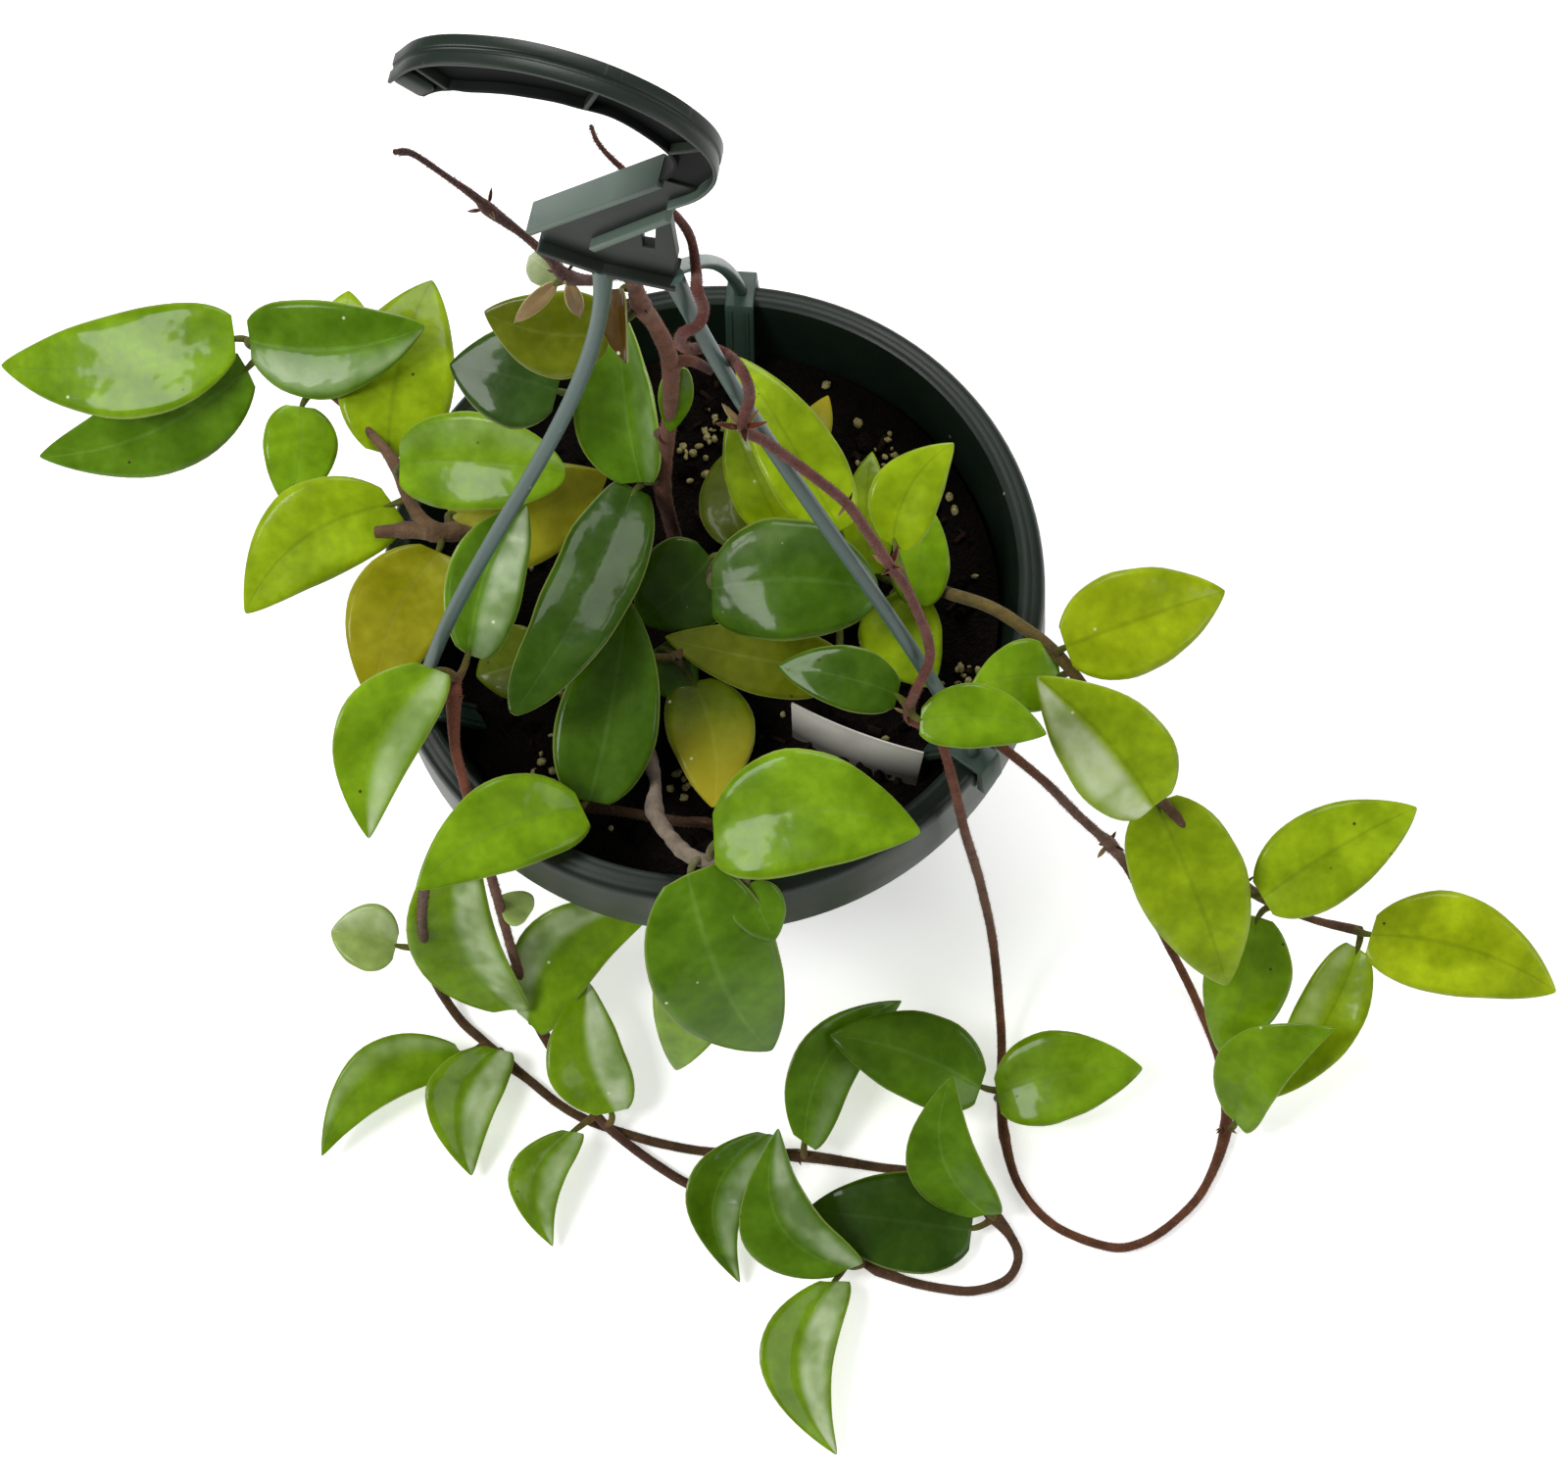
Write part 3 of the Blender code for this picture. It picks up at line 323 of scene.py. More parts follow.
def waxy_leaf():
    """Waxy leaf skin: glossy, cloudy green, with a midrib, faint side veins and a brushed pale painted
    highlight on one half.
    """
    wax = {"Coat_Weight": 0.26, "Coat_Roughness": 0.1, "Coat_IOR": 1.45}
    made, tree, shader = finish("waxy_leaf_skin", IOR=1.42, Specular_IOR_Level=0.12, **wax)
    tint = add(tree, "Attribute", attribute_name="tint")[0]
    habit = add(tree, "SeparateColor", {0: add(tree, "Attribute", attribute_name="habit")[0]})
    place = add(tree, "TexCoord")
    across, along, _ = add(tree, "SeparateXYZ", {0: place["UV"]})
    side = add(tree, "Math", {0: across, 1: 2.0, 2: -1.0}, operation="MULTIPLY_ADD")[0]
    reach = add(tree, "Math", {0: side}, operation="ABSOLUTE")[0]
    # clouds of about 14 mm and a finer mottle of about 3 mm, as light comes through uneven flesh
    clouds = add(tree, "TexNoise", {"Vector": place["Object"], "Scale": 70, "Detail": 2.0})[0]
    mottle = add(tree, "TexNoise", {"Vector": place["Object"], "Scale": 330, "Detail": 3.0})[0]
    light = add(tree, "MapRange", {"Value": clouds, 1: 0.36, 2: 0.66, 3: 0.0, 4: 1.0})[0]
    darker = add(tree, "HueSaturation", {"Value": 0.8, "Saturation": 1.05, "Color": tint})[0]
    lighter = add(tree, "HueSaturation", {"Value": 1.22, "Hue": 0.495, "Color": tint})[0]
    body = add(tree, "Mix", {0: light, 6: darker, 7: lighter}, data_type="RGBA")[2]
    fine = add(tree, "MapRange", {"Value": mottle, 1: 0.3, 2: 0.7, 3: 0.9, 4: 1.1})[0]
    body = add(tree, "HueSaturation", {"Value": fine, "Color": body})[0]
    # side veins every eighth of the blade, sloping towards the tip
    wander = add(tree, "Math", {0: clouds, 1: 0.5, 2: 0.0}, operation="MULTIPLY_ADD")[0]
    slope = add(tree, "Math", {0: reach, 1: -0.95, 2: wander}, operation="MULTIPLY_ADD")[0]
    phase = add(tree, "Math", {0: along, 1: 8.0, 2: slope}, operation="MULTIPLY_ADD")[0]
    ladder = add(tree, "Math", {0: phase, 1: 0.5}, operation="PINGPONG")[0]
    vein = add(tree, "MapRange", {"Value": ladder, 1: 0.0, 2: 0.2, 3: 1.0, 4: 0.0}, **SOFT)[0]
    fade = add(tree, "MapRange", {"Value": reach, 1: 0.1, 2: 0.85, 3: 0.16, 4: 0.0})[0]
    vein = add(tree, "Math", {0: vein, 1: fade}, operation="MULTIPLY")[0]
    rib = add(tree, "MapRange", {"Value": reach, 1: 0.01, 2: 0.08, 3: 0.5, 4: 0.0}, **SOFT)[0]
    ribs = add(tree, "Math", {0: vein, 1: rib}, operation="MAXIMUM")[0]
    pale = add(tree, "HueSaturation", {"Value": 1.5, "Saturation": 0.88, "Color": body})[0]
    deep = add(tree, "HueSaturation", {"Value": 0.62, "Saturation": 1.05, "Color": body})[0]
    rib_tone = add(tree, "Mix", {0: habit[1], 6: pale, 7: deep}, data_type="RGBA")[2]
    body = add(tree, "Mix", {0: ribs, 6: body, 7: rib_tone}, data_type="RGBA")[2]
    # yellowing runs in from the tip
    aged = add(tree, "MapRange", {"Value": along, 1: 0.3, 2: 0.95, 3: 0.0, 4: 1.0})[0]
    aged = add(tree, "Math", {0: aged, 1: habit[2]}, operation="MULTIPLY")[0]
    body = add(tree, "Mix", {0: aged, 6: body, 7: srgb("#b5a326")}, data_type="RGBA")[2]
    # scattered dark specks and pale dots under 1 mm
    cells = add(tree, "TexVoronoi", {"Vector": place["Object"], "Scale": 210, "Randomness": 1.0})
    chance = add(tree, "SeparateColor", {0: cells["Color"]})
    dot = add(tree, "MapRange", {"Value": cells["Distance"], 1: 0.06, 2: 0.14, 3: 1.0, 4: 0.0})[0]
    few = add(tree, "Math", {0: chance[0], 1: 0.965}, operation="GREATER_THAN")[0]
    some = add(tree, "Math", {0: chance[1], 1: 0.955}, operation="GREATER_THAN")[0]
    dark_dot = add(tree, "Math", {0: dot, 1: few}, operation="MULTIPLY")[0]
    pale_dot = add(tree, "Math", {0: dot, 1: some}, operation="MULTIPLY")[0]
    body = add(tree, "Mix", {0: dark_dot, 6: body, 7: srgb("#3a2a16")}, data_type="RGBA")[2]
    body = add(tree, "Mix", {0: pale_dot, 6: body, 7: srgb("#cfdcae")}, data_type="RGBA")[2]
    # painted highlight on one half: a pale glare, patchy, brushed across the blade in lines of about 1 mm
    strength = add(tree, "Math", {0: habit[0], 1: 2.0, 2: -1.0}, operation="MULTIPLY_ADD")[0]
    on_side = add(tree, "Math", {0: strength, 1: side}, operation="MULTIPLY")[0]
    half = add(tree, "MapRange", {"Value": on_side, 1: 0.02, 2: 0.3, 3: 0.0, 4: 1.0}, **SOFT)[0]
    stretch = add(tree, "Mapping", {"Vector": place["UV"], "Scale": (3, 7, 1)})[0]
    brushed = add(tree, "TexNoise", {"Vector": stretch, "Scale": 1.0, "Detail": 3.0})[0]
    brushed = add(tree, "MapRange", {"Value": brushed, 1: 0.32, 2: 0.66, 3: 0.55, 4: 1.0})[0]
    patch = add(tree, "MapRange", {"Value": clouds, 1: 0.38, 2: 0.58, 3: 0.4, 4: 1.0}, **SOFT)[0]
    inner = add(tree, "MapRange", {"Value": reach, 1: 0.72, 2: 0.95, 3: 1.0, 4: 0.0})[0]
    level = add(tree, "Math", {0: strength}, operation="ABSOLUTE")[0]
    painted_glare = half
    for factor in (brushed, patch, inner, level):
        painted_glare = add(tree, "Math", {0: painted_glare, 1: factor}, operation="MULTIPLY")[0]
    painted_glare = add(tree, "Math", {0: painted_glare, 1: 0.72}, operation="MULTIPLY")[0]
    body = add(tree, "Mix", {0: painted_glare, 6: body, 7: srgb("#dfe9cc")}, data_type="RGBA")[2]
    # thin pale margin
    margin = add(tree, "MapRange", {"Value": reach, 1: 0.95, 2: 0.99, 3: 0.0, 4: 0.4})[0]
    body = add(tree, "Mix", {0: margin, 6: body, 7: srgb("#a9b45e")}, data_type="RGBA")[2]
    tree.links.new(body, shader.inputs["Base Color"])
    gloss = add(tree, "MapRange", {"Value": mottle, 1: 0.3, 2: 0.7, 3: 0.3, 4: 0.42})[0]
    tree.links.new(gloss, shader.inputs["Roughness"])
    relief = add(tree, "Math", {0: ribs, 1: -0.8, 2: mottle}, operation="MULTIPLY_ADD")[0]
    # the waxy skin is never flat: swells of about 6 mm break up what it mirrors
    swell = add(tree, "TexNoise", {"Vector": place["Object"], "Scale": 150, "Detail": 1.0})[0]
    swells = add(tree, "Bump", {"Height": swell, "Strength": 0.35, "Distance": 0.7 * MM})[0]
    tree.links.new(swells, shader.inputs["Coat Normal"])
    bump = add(tree, "Bump", {"Height": relief, "Strength": 0.5, "Distance": 0.25 * MM, "Normal": swells})[0]
    tree.links.new(bump, shader.inputs["Normal"])
    return made


def leaf_back():
    """Leaf underside: paler and duller than the top, with a raised midrib and fine fibres."""
    made, tree, shader = finish("leaf_underside", IOR=1.42, Roughness=0.5)
    tint = add(tree, "Attribute", attribute_name="tint")[0]
    place = add(tree, "TexCoord")
    across, _, _ = add(tree, "SeparateXYZ", {0: place["UV"]})
    side = add(tree, "Math", {0: across, 1: 2.0, 2: -1.0}, operation="MULTIPLY_ADD")[0]
    reach = add(tree, "Math", {0: side}, operation="ABSOLUTE")[0]
    pale = add(tree, "Mix", {0: 0.45, 6: tint, 7: srgb("#a9bb63")}, data_type="RGBA")[2]
    stretch = add(tree, "Mapping", {"Vector": place["UV"], "Scale": (40, 6, 1)})[0]
    fibre = add(tree, "TexNoise", {"Vector": stretch, "Scale": 1.0, "Detail": 4.0})[0]
    tone = add(tree, "MapRange", {"Value": fibre, 1: 0.3, 2: 0.7, 3: 0.86, 4: 1.12})[0]
    body = add(tree, "HueSaturation", {"Value": tone, "Color": pale})[0]
    rib = add(tree, "MapRange", {"Value": reach, 1: 0.02, 2: 0.1, 3: 0.5, 4: 0.0}, **SOFT)[0]
    body = add(tree, "Mix", {0: rib, 6: body, 7: srgb("#b9c383")}, data_type="RGBA")[2]
    tree.links.new(body, shader.inputs["Base Color"])
    height = add(tree, "Math", {0: rib, 1: 2.0, 2: fibre}, operation="MULTIPLY_ADD")[0]
    bump = add(tree, "Bump", {"Height": height, "Strength": 0.5, "Distance": 0.3 * MM})[0]
    tree.links.new(bump, shader.inputs["Normal"])
    return made


def leaf_margin():
    """Leaf margin: a thin clear cream-green edge that catches the light."""
    made, tree, shader = finish("leaf_margin", IOR=1.45, Roughness=0.3)
    tint = add(tree, "Attribute", attribute_name="tint")[0]
    body = add(tree, "Mix", {0: 0.4, 6: tint, 7: srgb("#b9bf70")}, data_type="RGBA")[2]
    tree.links.new(body, shader.inputs["Base Color"])
    return made


def stem_skin(name, lumps, rough, sheen):
    """Stem skin over its own tint: corky or downy, blotched along its length, with small pale pores."""
    made, tree, shader = finish(
        name, Roughness=rough, Specular_IOR_Level=0.2, Sheen_Weight=sheen, Sheen_Roughness=0.5
    )
    tint = add(tree, "Attribute", attribute_name="tint")[0]
    place = add(tree, "TexCoord")["Object"]
    blotch = add(tree, "TexNoise", {"Vector": place, "Scale": 180, "Detail": 4.0, "Roughness": 0.6})[0]
    grain = add(tree, "TexNoise", {"Vector": place, "Scale": 1500, "Detail": 3.0})[0]
    tone = add(tree, "MapRange", {"Value": blotch, 1: 0.3, 2: 0.7, 3: 0.62, 4: 1.35})[0]
    body = add(tree, "HueSaturation", {"Value": tone, "Color": tint})[0]
    flecks = add(tree, "MapRange", {"Value": grain, 1: 0.58, 2: 0.7, 3: 0.0, 4: 0.22})[0]
    body = add(tree, "Mix", {0: flecks, 6: body, 7: srgb("#a8815d")}, data_type="RGBA")[2]
    tree.links.new(body, shader.inputs["Base Color"])
    height = add(tree, "Math", {0: blotch, 1: lumps, 2: grain}, operation="MULTIPLY_ADD")[0]
    bump = add(tree, "Bump", {"Height": height, "Strength": 0.8, "Distance": 0.35 * MM})[0]
    tree.links.new(bump, shader.inputs["Normal"])
    return made


def moulded_polypropylene(name, colour, worn, rough, shine, tones=()):
    """Moulded polypropylene: satin, slightly cloudy, with a fine mould grain and a dust of soil specks."""
    made, tree, shader = finish(name, IOR=1.49, Specular_IOR_Level=shine)
    place = add(tree, "TexCoord")["Object"]
    cloud = add(tree, "TexNoise", {"Vector": place, "Scale": 26, "Detail": 4.0, "Roughness": 0.6})[0]
    grain = add(tree, "TexNoise", {"Vector": place, "Scale": 1100, "Detail": 2.0})[0]
    share = add(tree, "MapRange", {"Value": cloud, 1: 0.35, 2: 0.72, 3: 0.0, 4: 0.6})[0]
    body = add(tree, "Mix", {0: share, 6: srgb(colour), 7: srgb(worn)}, data_type="RGBA")[2]
    height = add(tree, "SeparateXYZ", {0: place})[2]
    # bands by height painted over the colour: painted light and shade
    for start, full, tone in tones:
        share = add(tree, "MapRange", {"Value": height, 1: start, 2: full, 3: 0.0, 4: 1.0})[0]
        body = add(tree, "Mix", {0: share, 6: body, 7: srgb(tone)}, data_type="RGBA")[2]
    # scratches of handling: long thin streaks about 0.4 mm wide
    stretch = add(tree, "Mapping", {"Vector": place, "Scale": (60, 60, 900), "Rotation": (0.3, 0.5, 0.2)})[0]
    streak = add(tree, "TexNoise", {"Vector": stretch, "Scale": 1.0, "Detail": 2.0})[0]
    streak = add(tree, "MapRange", {"Value": streak, 1: 0.66, 2: 0.74, 3: 0.0, 4: 0.3})[0]
    body = add(tree, "Mix", {0: streak, 6: body, 7: srgb(worn)}, data_type="RGBA")[2]
    cells = add(tree, "TexVoronoi", {"Vector": place, "Scale": 170, "Randomness": 1.0})
    chance = add(tree, "SeparateColor", {0: cells["Color"]})[0]
    dot = add(tree, "MapRange", {"Value": cells["Distance"], 1: 0.05, 2: 0.11, 3: 1.0, 4: 0.0})[0]
    few = add(tree, "Math", {0: chance, 1: 0.9}, operation="GREATER_THAN")[0]
    dust = add(tree, "Math", {0: dot, 1: few}, operation="MULTIPLY")[0]
    body = add(tree, "Mix", {0: dust, 6: body, 7: srgb("#8d8a74")}, data_type="RGBA")[2]
    tree.links.new(body, shader.inputs["Base Color"])
    gloss = add(tree, "MapRange", {"Value": cloud, 1: 0.3, 2: 0.75, 3: rough, 4: rough + 0.14})[0]
    tree.links.new(gloss, shader.inputs["Roughness"])
    bump = add(tree, "Bump", {"Height": grain, "Strength": 0.35, "Distance": 0.08 * MM})[0]
    tree.links.new(bump, shader.inputs["Normal"])
    return made


def crumbly(name, dark, light, scale, rough, depth):
    """Loose grains of peat, bark or perlite: matt, mottled and pitted."""
    made, tree, shader = finish(name, Roughness=rough, Specular_IOR_Level=0.12)
    place = add(tree, "TexCoord")["Object"]
    coarse = add(tree, "TexNoise", {"Vector": place, "Scale": scale, "Detail": 6.0, "Roughness": 0.7})[0]
    share = add(tree, "MapRange", {"Value": coarse, 1: 0.35, 2: 0.68, 3: 0.0, 4: 1.0})[0]
    body = add(tree, "Mix", {0: share, 6: srgb(dark), 7: srgb(light)}, data_type="RGBA")[2]
    tree.links.new(body, shader.inputs["Base Color"])
    pits = add(tree, "TexVoronoi", {"Vector": place, "Scale": scale * 2.2})["Distance"]
    height = add(tree, "Math", {0: coarse, 1: 1.5, 2: pits}, operation="MULTIPLY_ADD")[0]
    bump = add(tree, "Bump", {"Height": height, "Strength": 0.9, "Distance": depth * MM})[0]
    tree.links.new(bump, shader.inputs["Normal"])
    return made


def coated_card():
    """Coated white card: smooth and a little glossy, with painted shade darkening it low down."""
    made, tree, shader = finish("coated_white_card", Roughness=0.32, IOR=1.48)
    place = add(tree, "TexCoord")["Object"]
    smudge = add(tree, "TexNoise", {"Vector": place, "Scale": 140, "Detail": 4.0})[0]
    share = add(tree, "MapRange", {"Value": smudge, 1: 0.5, 2: 0.75, 3: 0.0, 4: 0.35})[0]
    body = add(tree, "Mix", {0: share, 6: srgb("#cfccc2"), 7: srgb("#a8a294")}, data_type="RGBA")[2]
    height = add(tree, "SeparateXYZ", {0: place})[2]
    # painted shade, darker towards the bottom of the card
    painted_shade = add(tree, "MapRange", {"Value": height, 1: 0.1185, 2: 0.1265, 3: 0.9, 4: 0.0})[0]
    body = add(tree, "Mix", {0: painted_shade, 6: body, 7: srgb("#1d1813")}, data_type="RGBA")[2]
    tree.links.new(body, shader.inputs["Base Color"])
    bump = add(tree, "Bump", {"Height": smudge, "Strength": 0.2, "Distance": 0.1 * MM})[0]
    tree.links.new(bump, shader.inputs["Normal"])
    return made


LEAF_FINISH = [waxy_leaf(), leaf_back(), leaf_margin()]
DOWNY = stem_skin("downy_young_stem", 1.5, 0.75, 0.1)
CORKY = stem_skin("corky_vine_bark", 4.0, 0.85, 0.1)
DOWN = stem_skin("pale_stem_down", 0.5, 0.8, 0.1)
POT_FINISH = moulded_polypropylene("moulded_polypropylene_dark_green", "#111b13", "#1d2a1f", 0.34, 0.28)
# painted light and shade by height on the one grey-green plastic: painted shade on the clips under the rim, a
# painted light band on the hub, and painted shade deepening up the hook
HANGER_PAINTED_LIGHT_AND_SHADE = [(0.155, 0.14, "#2c3f35"), (0.374, 0.386, "#536258"), (0.412, 0.428, "#17221a")]
HANGER_LOOK = ("#41544f", "#50655f", 0.34, 0.4, HANGER_PAINTED_LIGHT_AND_SHADE)
HANGER_FINISH = moulded_polypropylene("moulded_polypropylene_grey_green", *HANGER_LOOK)
# a copy of the hanger's plastic darkened as painted shade, for the web, its ribs and the lower flanges
WEB_PAINTED_SHADE_FINISH = moulded_polypropylene("moulded_polypropylene_web_painted_shade", "#151b15", "#2b3229", 0.42, 0.3)
# a near-black copy of the plastic as painted shade in the hook's hollows
HOLLOW_PAINTED_SHADE_FINISH = moulded_polypropylene("moulded_polypropylene_hollow_painted_shade", "#060907", "#0c110e", 0.6, 0.15)
PEAT = crumbly("peat_potting_mix", "#040302", "#170e08", 420, 0.95, 1.6)
PERLITE = crumbly("expanded_perlite", "#7f7440", "#c9bd86", 900, 0.85, 0.4)
BARK = crumbly("composted_bark", "#0c0705", "#2b1a0f", 600, 0.9, 0.5)
CARD = coated_card()


# Pot, soil and card


def make_pot():
    """The moulded shell: foot ring, tapered wall, and the rim rolled over into a hanging skirt."""
    outer = (RIM_RADIUS - RIM_LIP) / MM + WALL / MM
    profile = [
        (2, 0), (14.5, 0), (16, 0.4), (17, 2), (56, 2), (57.2, 0.5), (58, 0), (65.5, 0), (67.2, 0.6), (68, 2),
        (72, 22), (outer - 0.8, 134.5), (outer + 0.4, 136), (101, 136), (101, 126), (101, 109.2),
        (101.4, 108.2), (102.4, 108), (103.4, 108.3), (103.5, 109.5), (103.3, 118), (103.1, 129), (103, 134),
        (102.8, 136.8), (102, 138.4), (100.6, 139.3), (99.3, 139.35), (98.6, 139.55), (97.6, 139.95),
        (96, 139.9), (94.9, 139.2), (94.4, 137.5), (93.6, 134), (85, 78), (69.5, 8), (67.5, 5), (60, 4.5),
        (2, 4.5),
    ]
    pot = lathe("pot_shell", profile, 128)
    drill_size = {"vertices": 24, "radius": DRAIN_RADIUS, "depth": 20 * MM}
    drills = []
    for index in range(DRAIN_HOLES):
        turn = math.tau * index / DRAIN_HOLES
        place = Vector((math.cos(turn), math.sin(turn), 0)) * DRAIN_RING
        drill = fresh("drill", bpy.ops.mesh.primitive_cylinder_add, **drill_size)
        drills.append(put(drill, Matrix.Translation(place)))
    drill = join("drill", drills)
    applied(pot, "BOOLEAN", operation="DIFFERENCE", object=drill, solver="EXACT")
    bpy.data.objects.remove(drill)
    smooth(pot, 38)
    return fasten(pot, "pot", POT_FINISH)


def soil_height(x, y):
    """The soil's top, a little heaped and uneven."""
    heap = 2.5 * math.cos(math.hypot(x, y) / RIM_RADIUS * 1.5)
    return SOIL_TOP + (heap + 0.8 * math.sin(x * 90 + 1) * math.cos(y * 110)) * MM


def inner_radius(height):
    """The pot's inner radius at a height."""
    lowest = BASE_RADIUS - WALL
    return lowest + (RIM_RADIUS - RIM_LIP - lowest) * (height / RIM_HEIGHT)


def lump(name, radius, place, rng, rounds=2):
    """A rough pebble with a few dozen faces."""
    made = fresh(name, bpy.ops.mesh.primitive_ico_sphere_add, subdivisions=rounds, radius=radius)
    seed = Vector([rng.uniform(0, 50) for _ in range(3)])
    squash = Vector([rng.uniform(0.65, 1.25) for _ in range(3)])
    for vertex in made.data.vertices:
        push = 1 + 0.35 * noise.noise(vertex.co / radius * 1.3 + seed)
        vertex.co = place + Vector([c * push * s for c, s in zip(vertex.co, squash)])
    return made


def chip(name, size, place, rng):
    """A splinter of bark: a bevelled block, turned at random."""
    made = fresh(name, bpy.ops.mesh.primitive_cube_add, size=1)
    turn = Matrix.Rotation(rng.uniform(0, math.tau), 4, "Z") @ Matrix.Rotation(rng.uniform(-0.5, 0.5), 4, "X")
    scale = Matrix.Diagonal((size * rng.uniform(1.2, 2.6), size * rng.uniform(0.5, 0.9), size * 0.35, 1))
    put(made, Matrix.Translation(place) @ turn @ scale)
    return applied(made, "BEVEL", width=size * 0.1, segments=1)


PERLITE_HEAPS = [
    (722, 395), (735, 440), (705, 470), (850, 372), (880, 420), (838, 345), (905, 470), (790, 350),
    (955, 640), (970, 700), (640, 760), (700, 800), (860, 905), (560, 790), (940, 540), (985, 480),
]
BITS = {"perlite": (90, 210), "bark_chips": (60, 120), "mix_crumbs": (110, 300)}
BIT_FINISH = {"perlite": PERLITE, "bark_chips": BARK, "mix_crumbs": PEAT}
ROOTS = 26


def make_soil():
    """The plug of potting mix with a crumbled top, and what lies loose on it."""
    low = FLOOR + GAP
    top = SOIL_TOP / MM
    edge = inner_radius(SOIL_TOP) / MM - 0.55
    profile = [(2, low / MM), (inner_radius(low) / MM - 0.4, low / MM), (edge, top - 1)]
    rings = [edge - 1.8 * step for step in range(int(edge / 1.8))]
    profile += [(radius, top) for radius in rings if radius > 1]
    soil = lathe("potting_mix", profile, 128)
    for vertex in soil.data.vertices:
        if vertex.co.z > SOIL_TOP - MM / 2:
            x, y = vertex.co.x, vertex.co.y
            crumbs = noise.noise(Vector((x, y, 0)) * 160) * 1.6 + noise.noise(Vector((x, y, 1)) * 420) * 0.9
            inside = min(1, (edge * MM - math.hypot(x, y)) / (4 * MM))
            vertex.co.z = soil_height(x, y) + crumbs * MM * inside
    smooth(soil, 60)
    fasten(soil, "soil", PEAT)
    rng = random.Random(11)
    for kind, counts in BITS.items():
        scatter(kind, counts[1], rng)
    make_roots(rng)


def scatter(kind, count, rng):
    """Bits of one kind on the mix; three quarters of the perlite lies in heaps."""
    parts = []
    for index in range(count):
        reach = (RIM_RADIUS - 20 * MM) * math.sqrt(rng.random())
        turn = rng.uniform(0, math.tau)
        x, y = reach * math.cos(turn), reach * math.sin(turn)
        if kind == "perlite" and index % 4:
            heap = sight(*PERLITE_HEAPS[index % len(PERLITE_HEAPS)], SOIL_TOP / MM)
            x, y = heap.x + rng.gauss(0, 4 * MM), heap.y + rng.gauss(0, 4 * MM)
        if math.hypot(x, y) > RIM_RADIUS - 16 * MM:
            continue
        place = Vector((x, y, soil_height(x, y) + 1.3 * MM))
        if kind == "perlite":
            parts.append(lump("bit", rng.uniform(0.6, 1.5) * MM, place, rng))
        elif kind == "bark_chips":
            parts.append(chip("bit", rng.uniform(1.2, 3.4) * MM, place, rng))
        else:
            parts.append(lump("bit", rng.uniform(1.0, 3.2) * MM, place, rng, 1))
    fasten(smooth(join(kind, parts), 50), None, BIT_FINISH[kind])


def make_roots(rng):
    """Fine roots that wander over the mix."""
    roots = []
    for _ in range(ROOTS):
        turn, reach = rng.uniform(0, math.tau), rng.uniform(20, 78) * MM
        spot = Vector((reach * math.cos(turn), reach * math.sin(turn), 0))
        heading = rng.uniform(0, math.tau)
        run = []
        for part in range(9):
            spot += Vector((math.cos(heading), math.sin(heading), 0)) * 1.4 * MM
            heading += rng.uniform(-0.5, 0.5)
            rise = 0.8 + 1.6 * math.sin(part / 8 * math.pi)
            run.append((Vector((spot.x, spot.y, soil_height(spot.x, spot.y) + rise * MM)), 1 - part * 0.09))
        roots.append(tube("root", run, 0.16 * MM, 6))
    fasten(join("fine_roots", roots), None, BARK)


CARD_LEAN = math.radians(30)
CARD_OUTLINE = [
    (-18, -4.5), (22, -4.5), (22, 14.6), (21.9, 14.9), (21.6, 15), (-21.5, 15), (-21.9, 14.9), (-22, 14.6),
]


def make_card():
    """The plain card, leaning back and a little bowed."""
    left, right = sight(803, 754, SOIL_TOP / MM + 2), sight(929, 802, SOIL_TOP / MM + 2)
    along = (right - left).normalized()
    along.z = 0
    back = Vector((-along.y, along.x, 0))
    rise = Vector((0, 0, math.cos(CARD_LEAN))) + back * math.sin(CARD_LEAN)
    middle = (left + right) / 2
    middle.z = SOIL_TOP
    card = plate("card", [CARD_OUTLINE], 0.62, 0.12, Matrix.Identity(4))
    edit(card)
    for cut in range(-20, 21, 4):
        bpy.ops.mesh.select_all(action="SELECT")
        bpy.ops.mesh.bisect(plane_co=(cut * MM, 0, 0), plane_no=(1, 0, 0))
    done()
    for vertex in card.data.vertices:
        x = vertex.co.x / (22 * MM)
        vertex.co.z += (1.0 - 2.0 * x * x) * MM
    put(card, axes_at(middle, along, rise, along.cross(rise)))
    smooth(card, 40)
    return fasten(card, "plant_label", CARD)


# Hanger

UPRIGHT = Vector((0, 0, 1))
HUB = sight(655, 275, HUB_HEIGHT)
HOOK_SIDE = Vector((math.cos(HOOK_TURN), math.sin(HOOK_TURN), 0))
HOOK_ACROSS = Vector((-math.sin(HOOK_TURN), math.cos(HOOK_TURN), 0))
# turns a flat drawing, x sideways and y up, into the hook's upright plane
HOOK_PLANE = axes_at(HUB, HOOK_SIDE, UPRIGHT, HOOK_SIDE.cross(UPRIGHT))
# stops along the hook's outer edge, with its depth there as a share of HOOK_DEPTH
HOOK_STOPS = [
    ((11, 39), 1), ((19, 47), 1), ((23.5, 57), 1), ((22.5, 67), 1), ((16, 77), 1), ((7, 84.5), 0.95),
    ((-4, 90), 1.14), ((-18, 93), 1.27), ((-33, 91.5), 1.3), ((-42.5, 87), 1.15), ((-49, 79), 0.9),
]
WEB_OUTLINE = [(-23, 9), (-10, 3), (8, 0), (10, 11), (10, 36), (18, 47), (8, 50), (-23, 18)]
WEB_SLOT = [(2, 15), (4.8, 15), (6, 25.5), (2.4, 25)]
FLANGE_RUNS = [((-25, 17.5), (10, 51)), ((-10, 14), (10.5, 35)), ((-24, 9), (-9, 2.5)), ((-11, 2.6), (9, 0))]
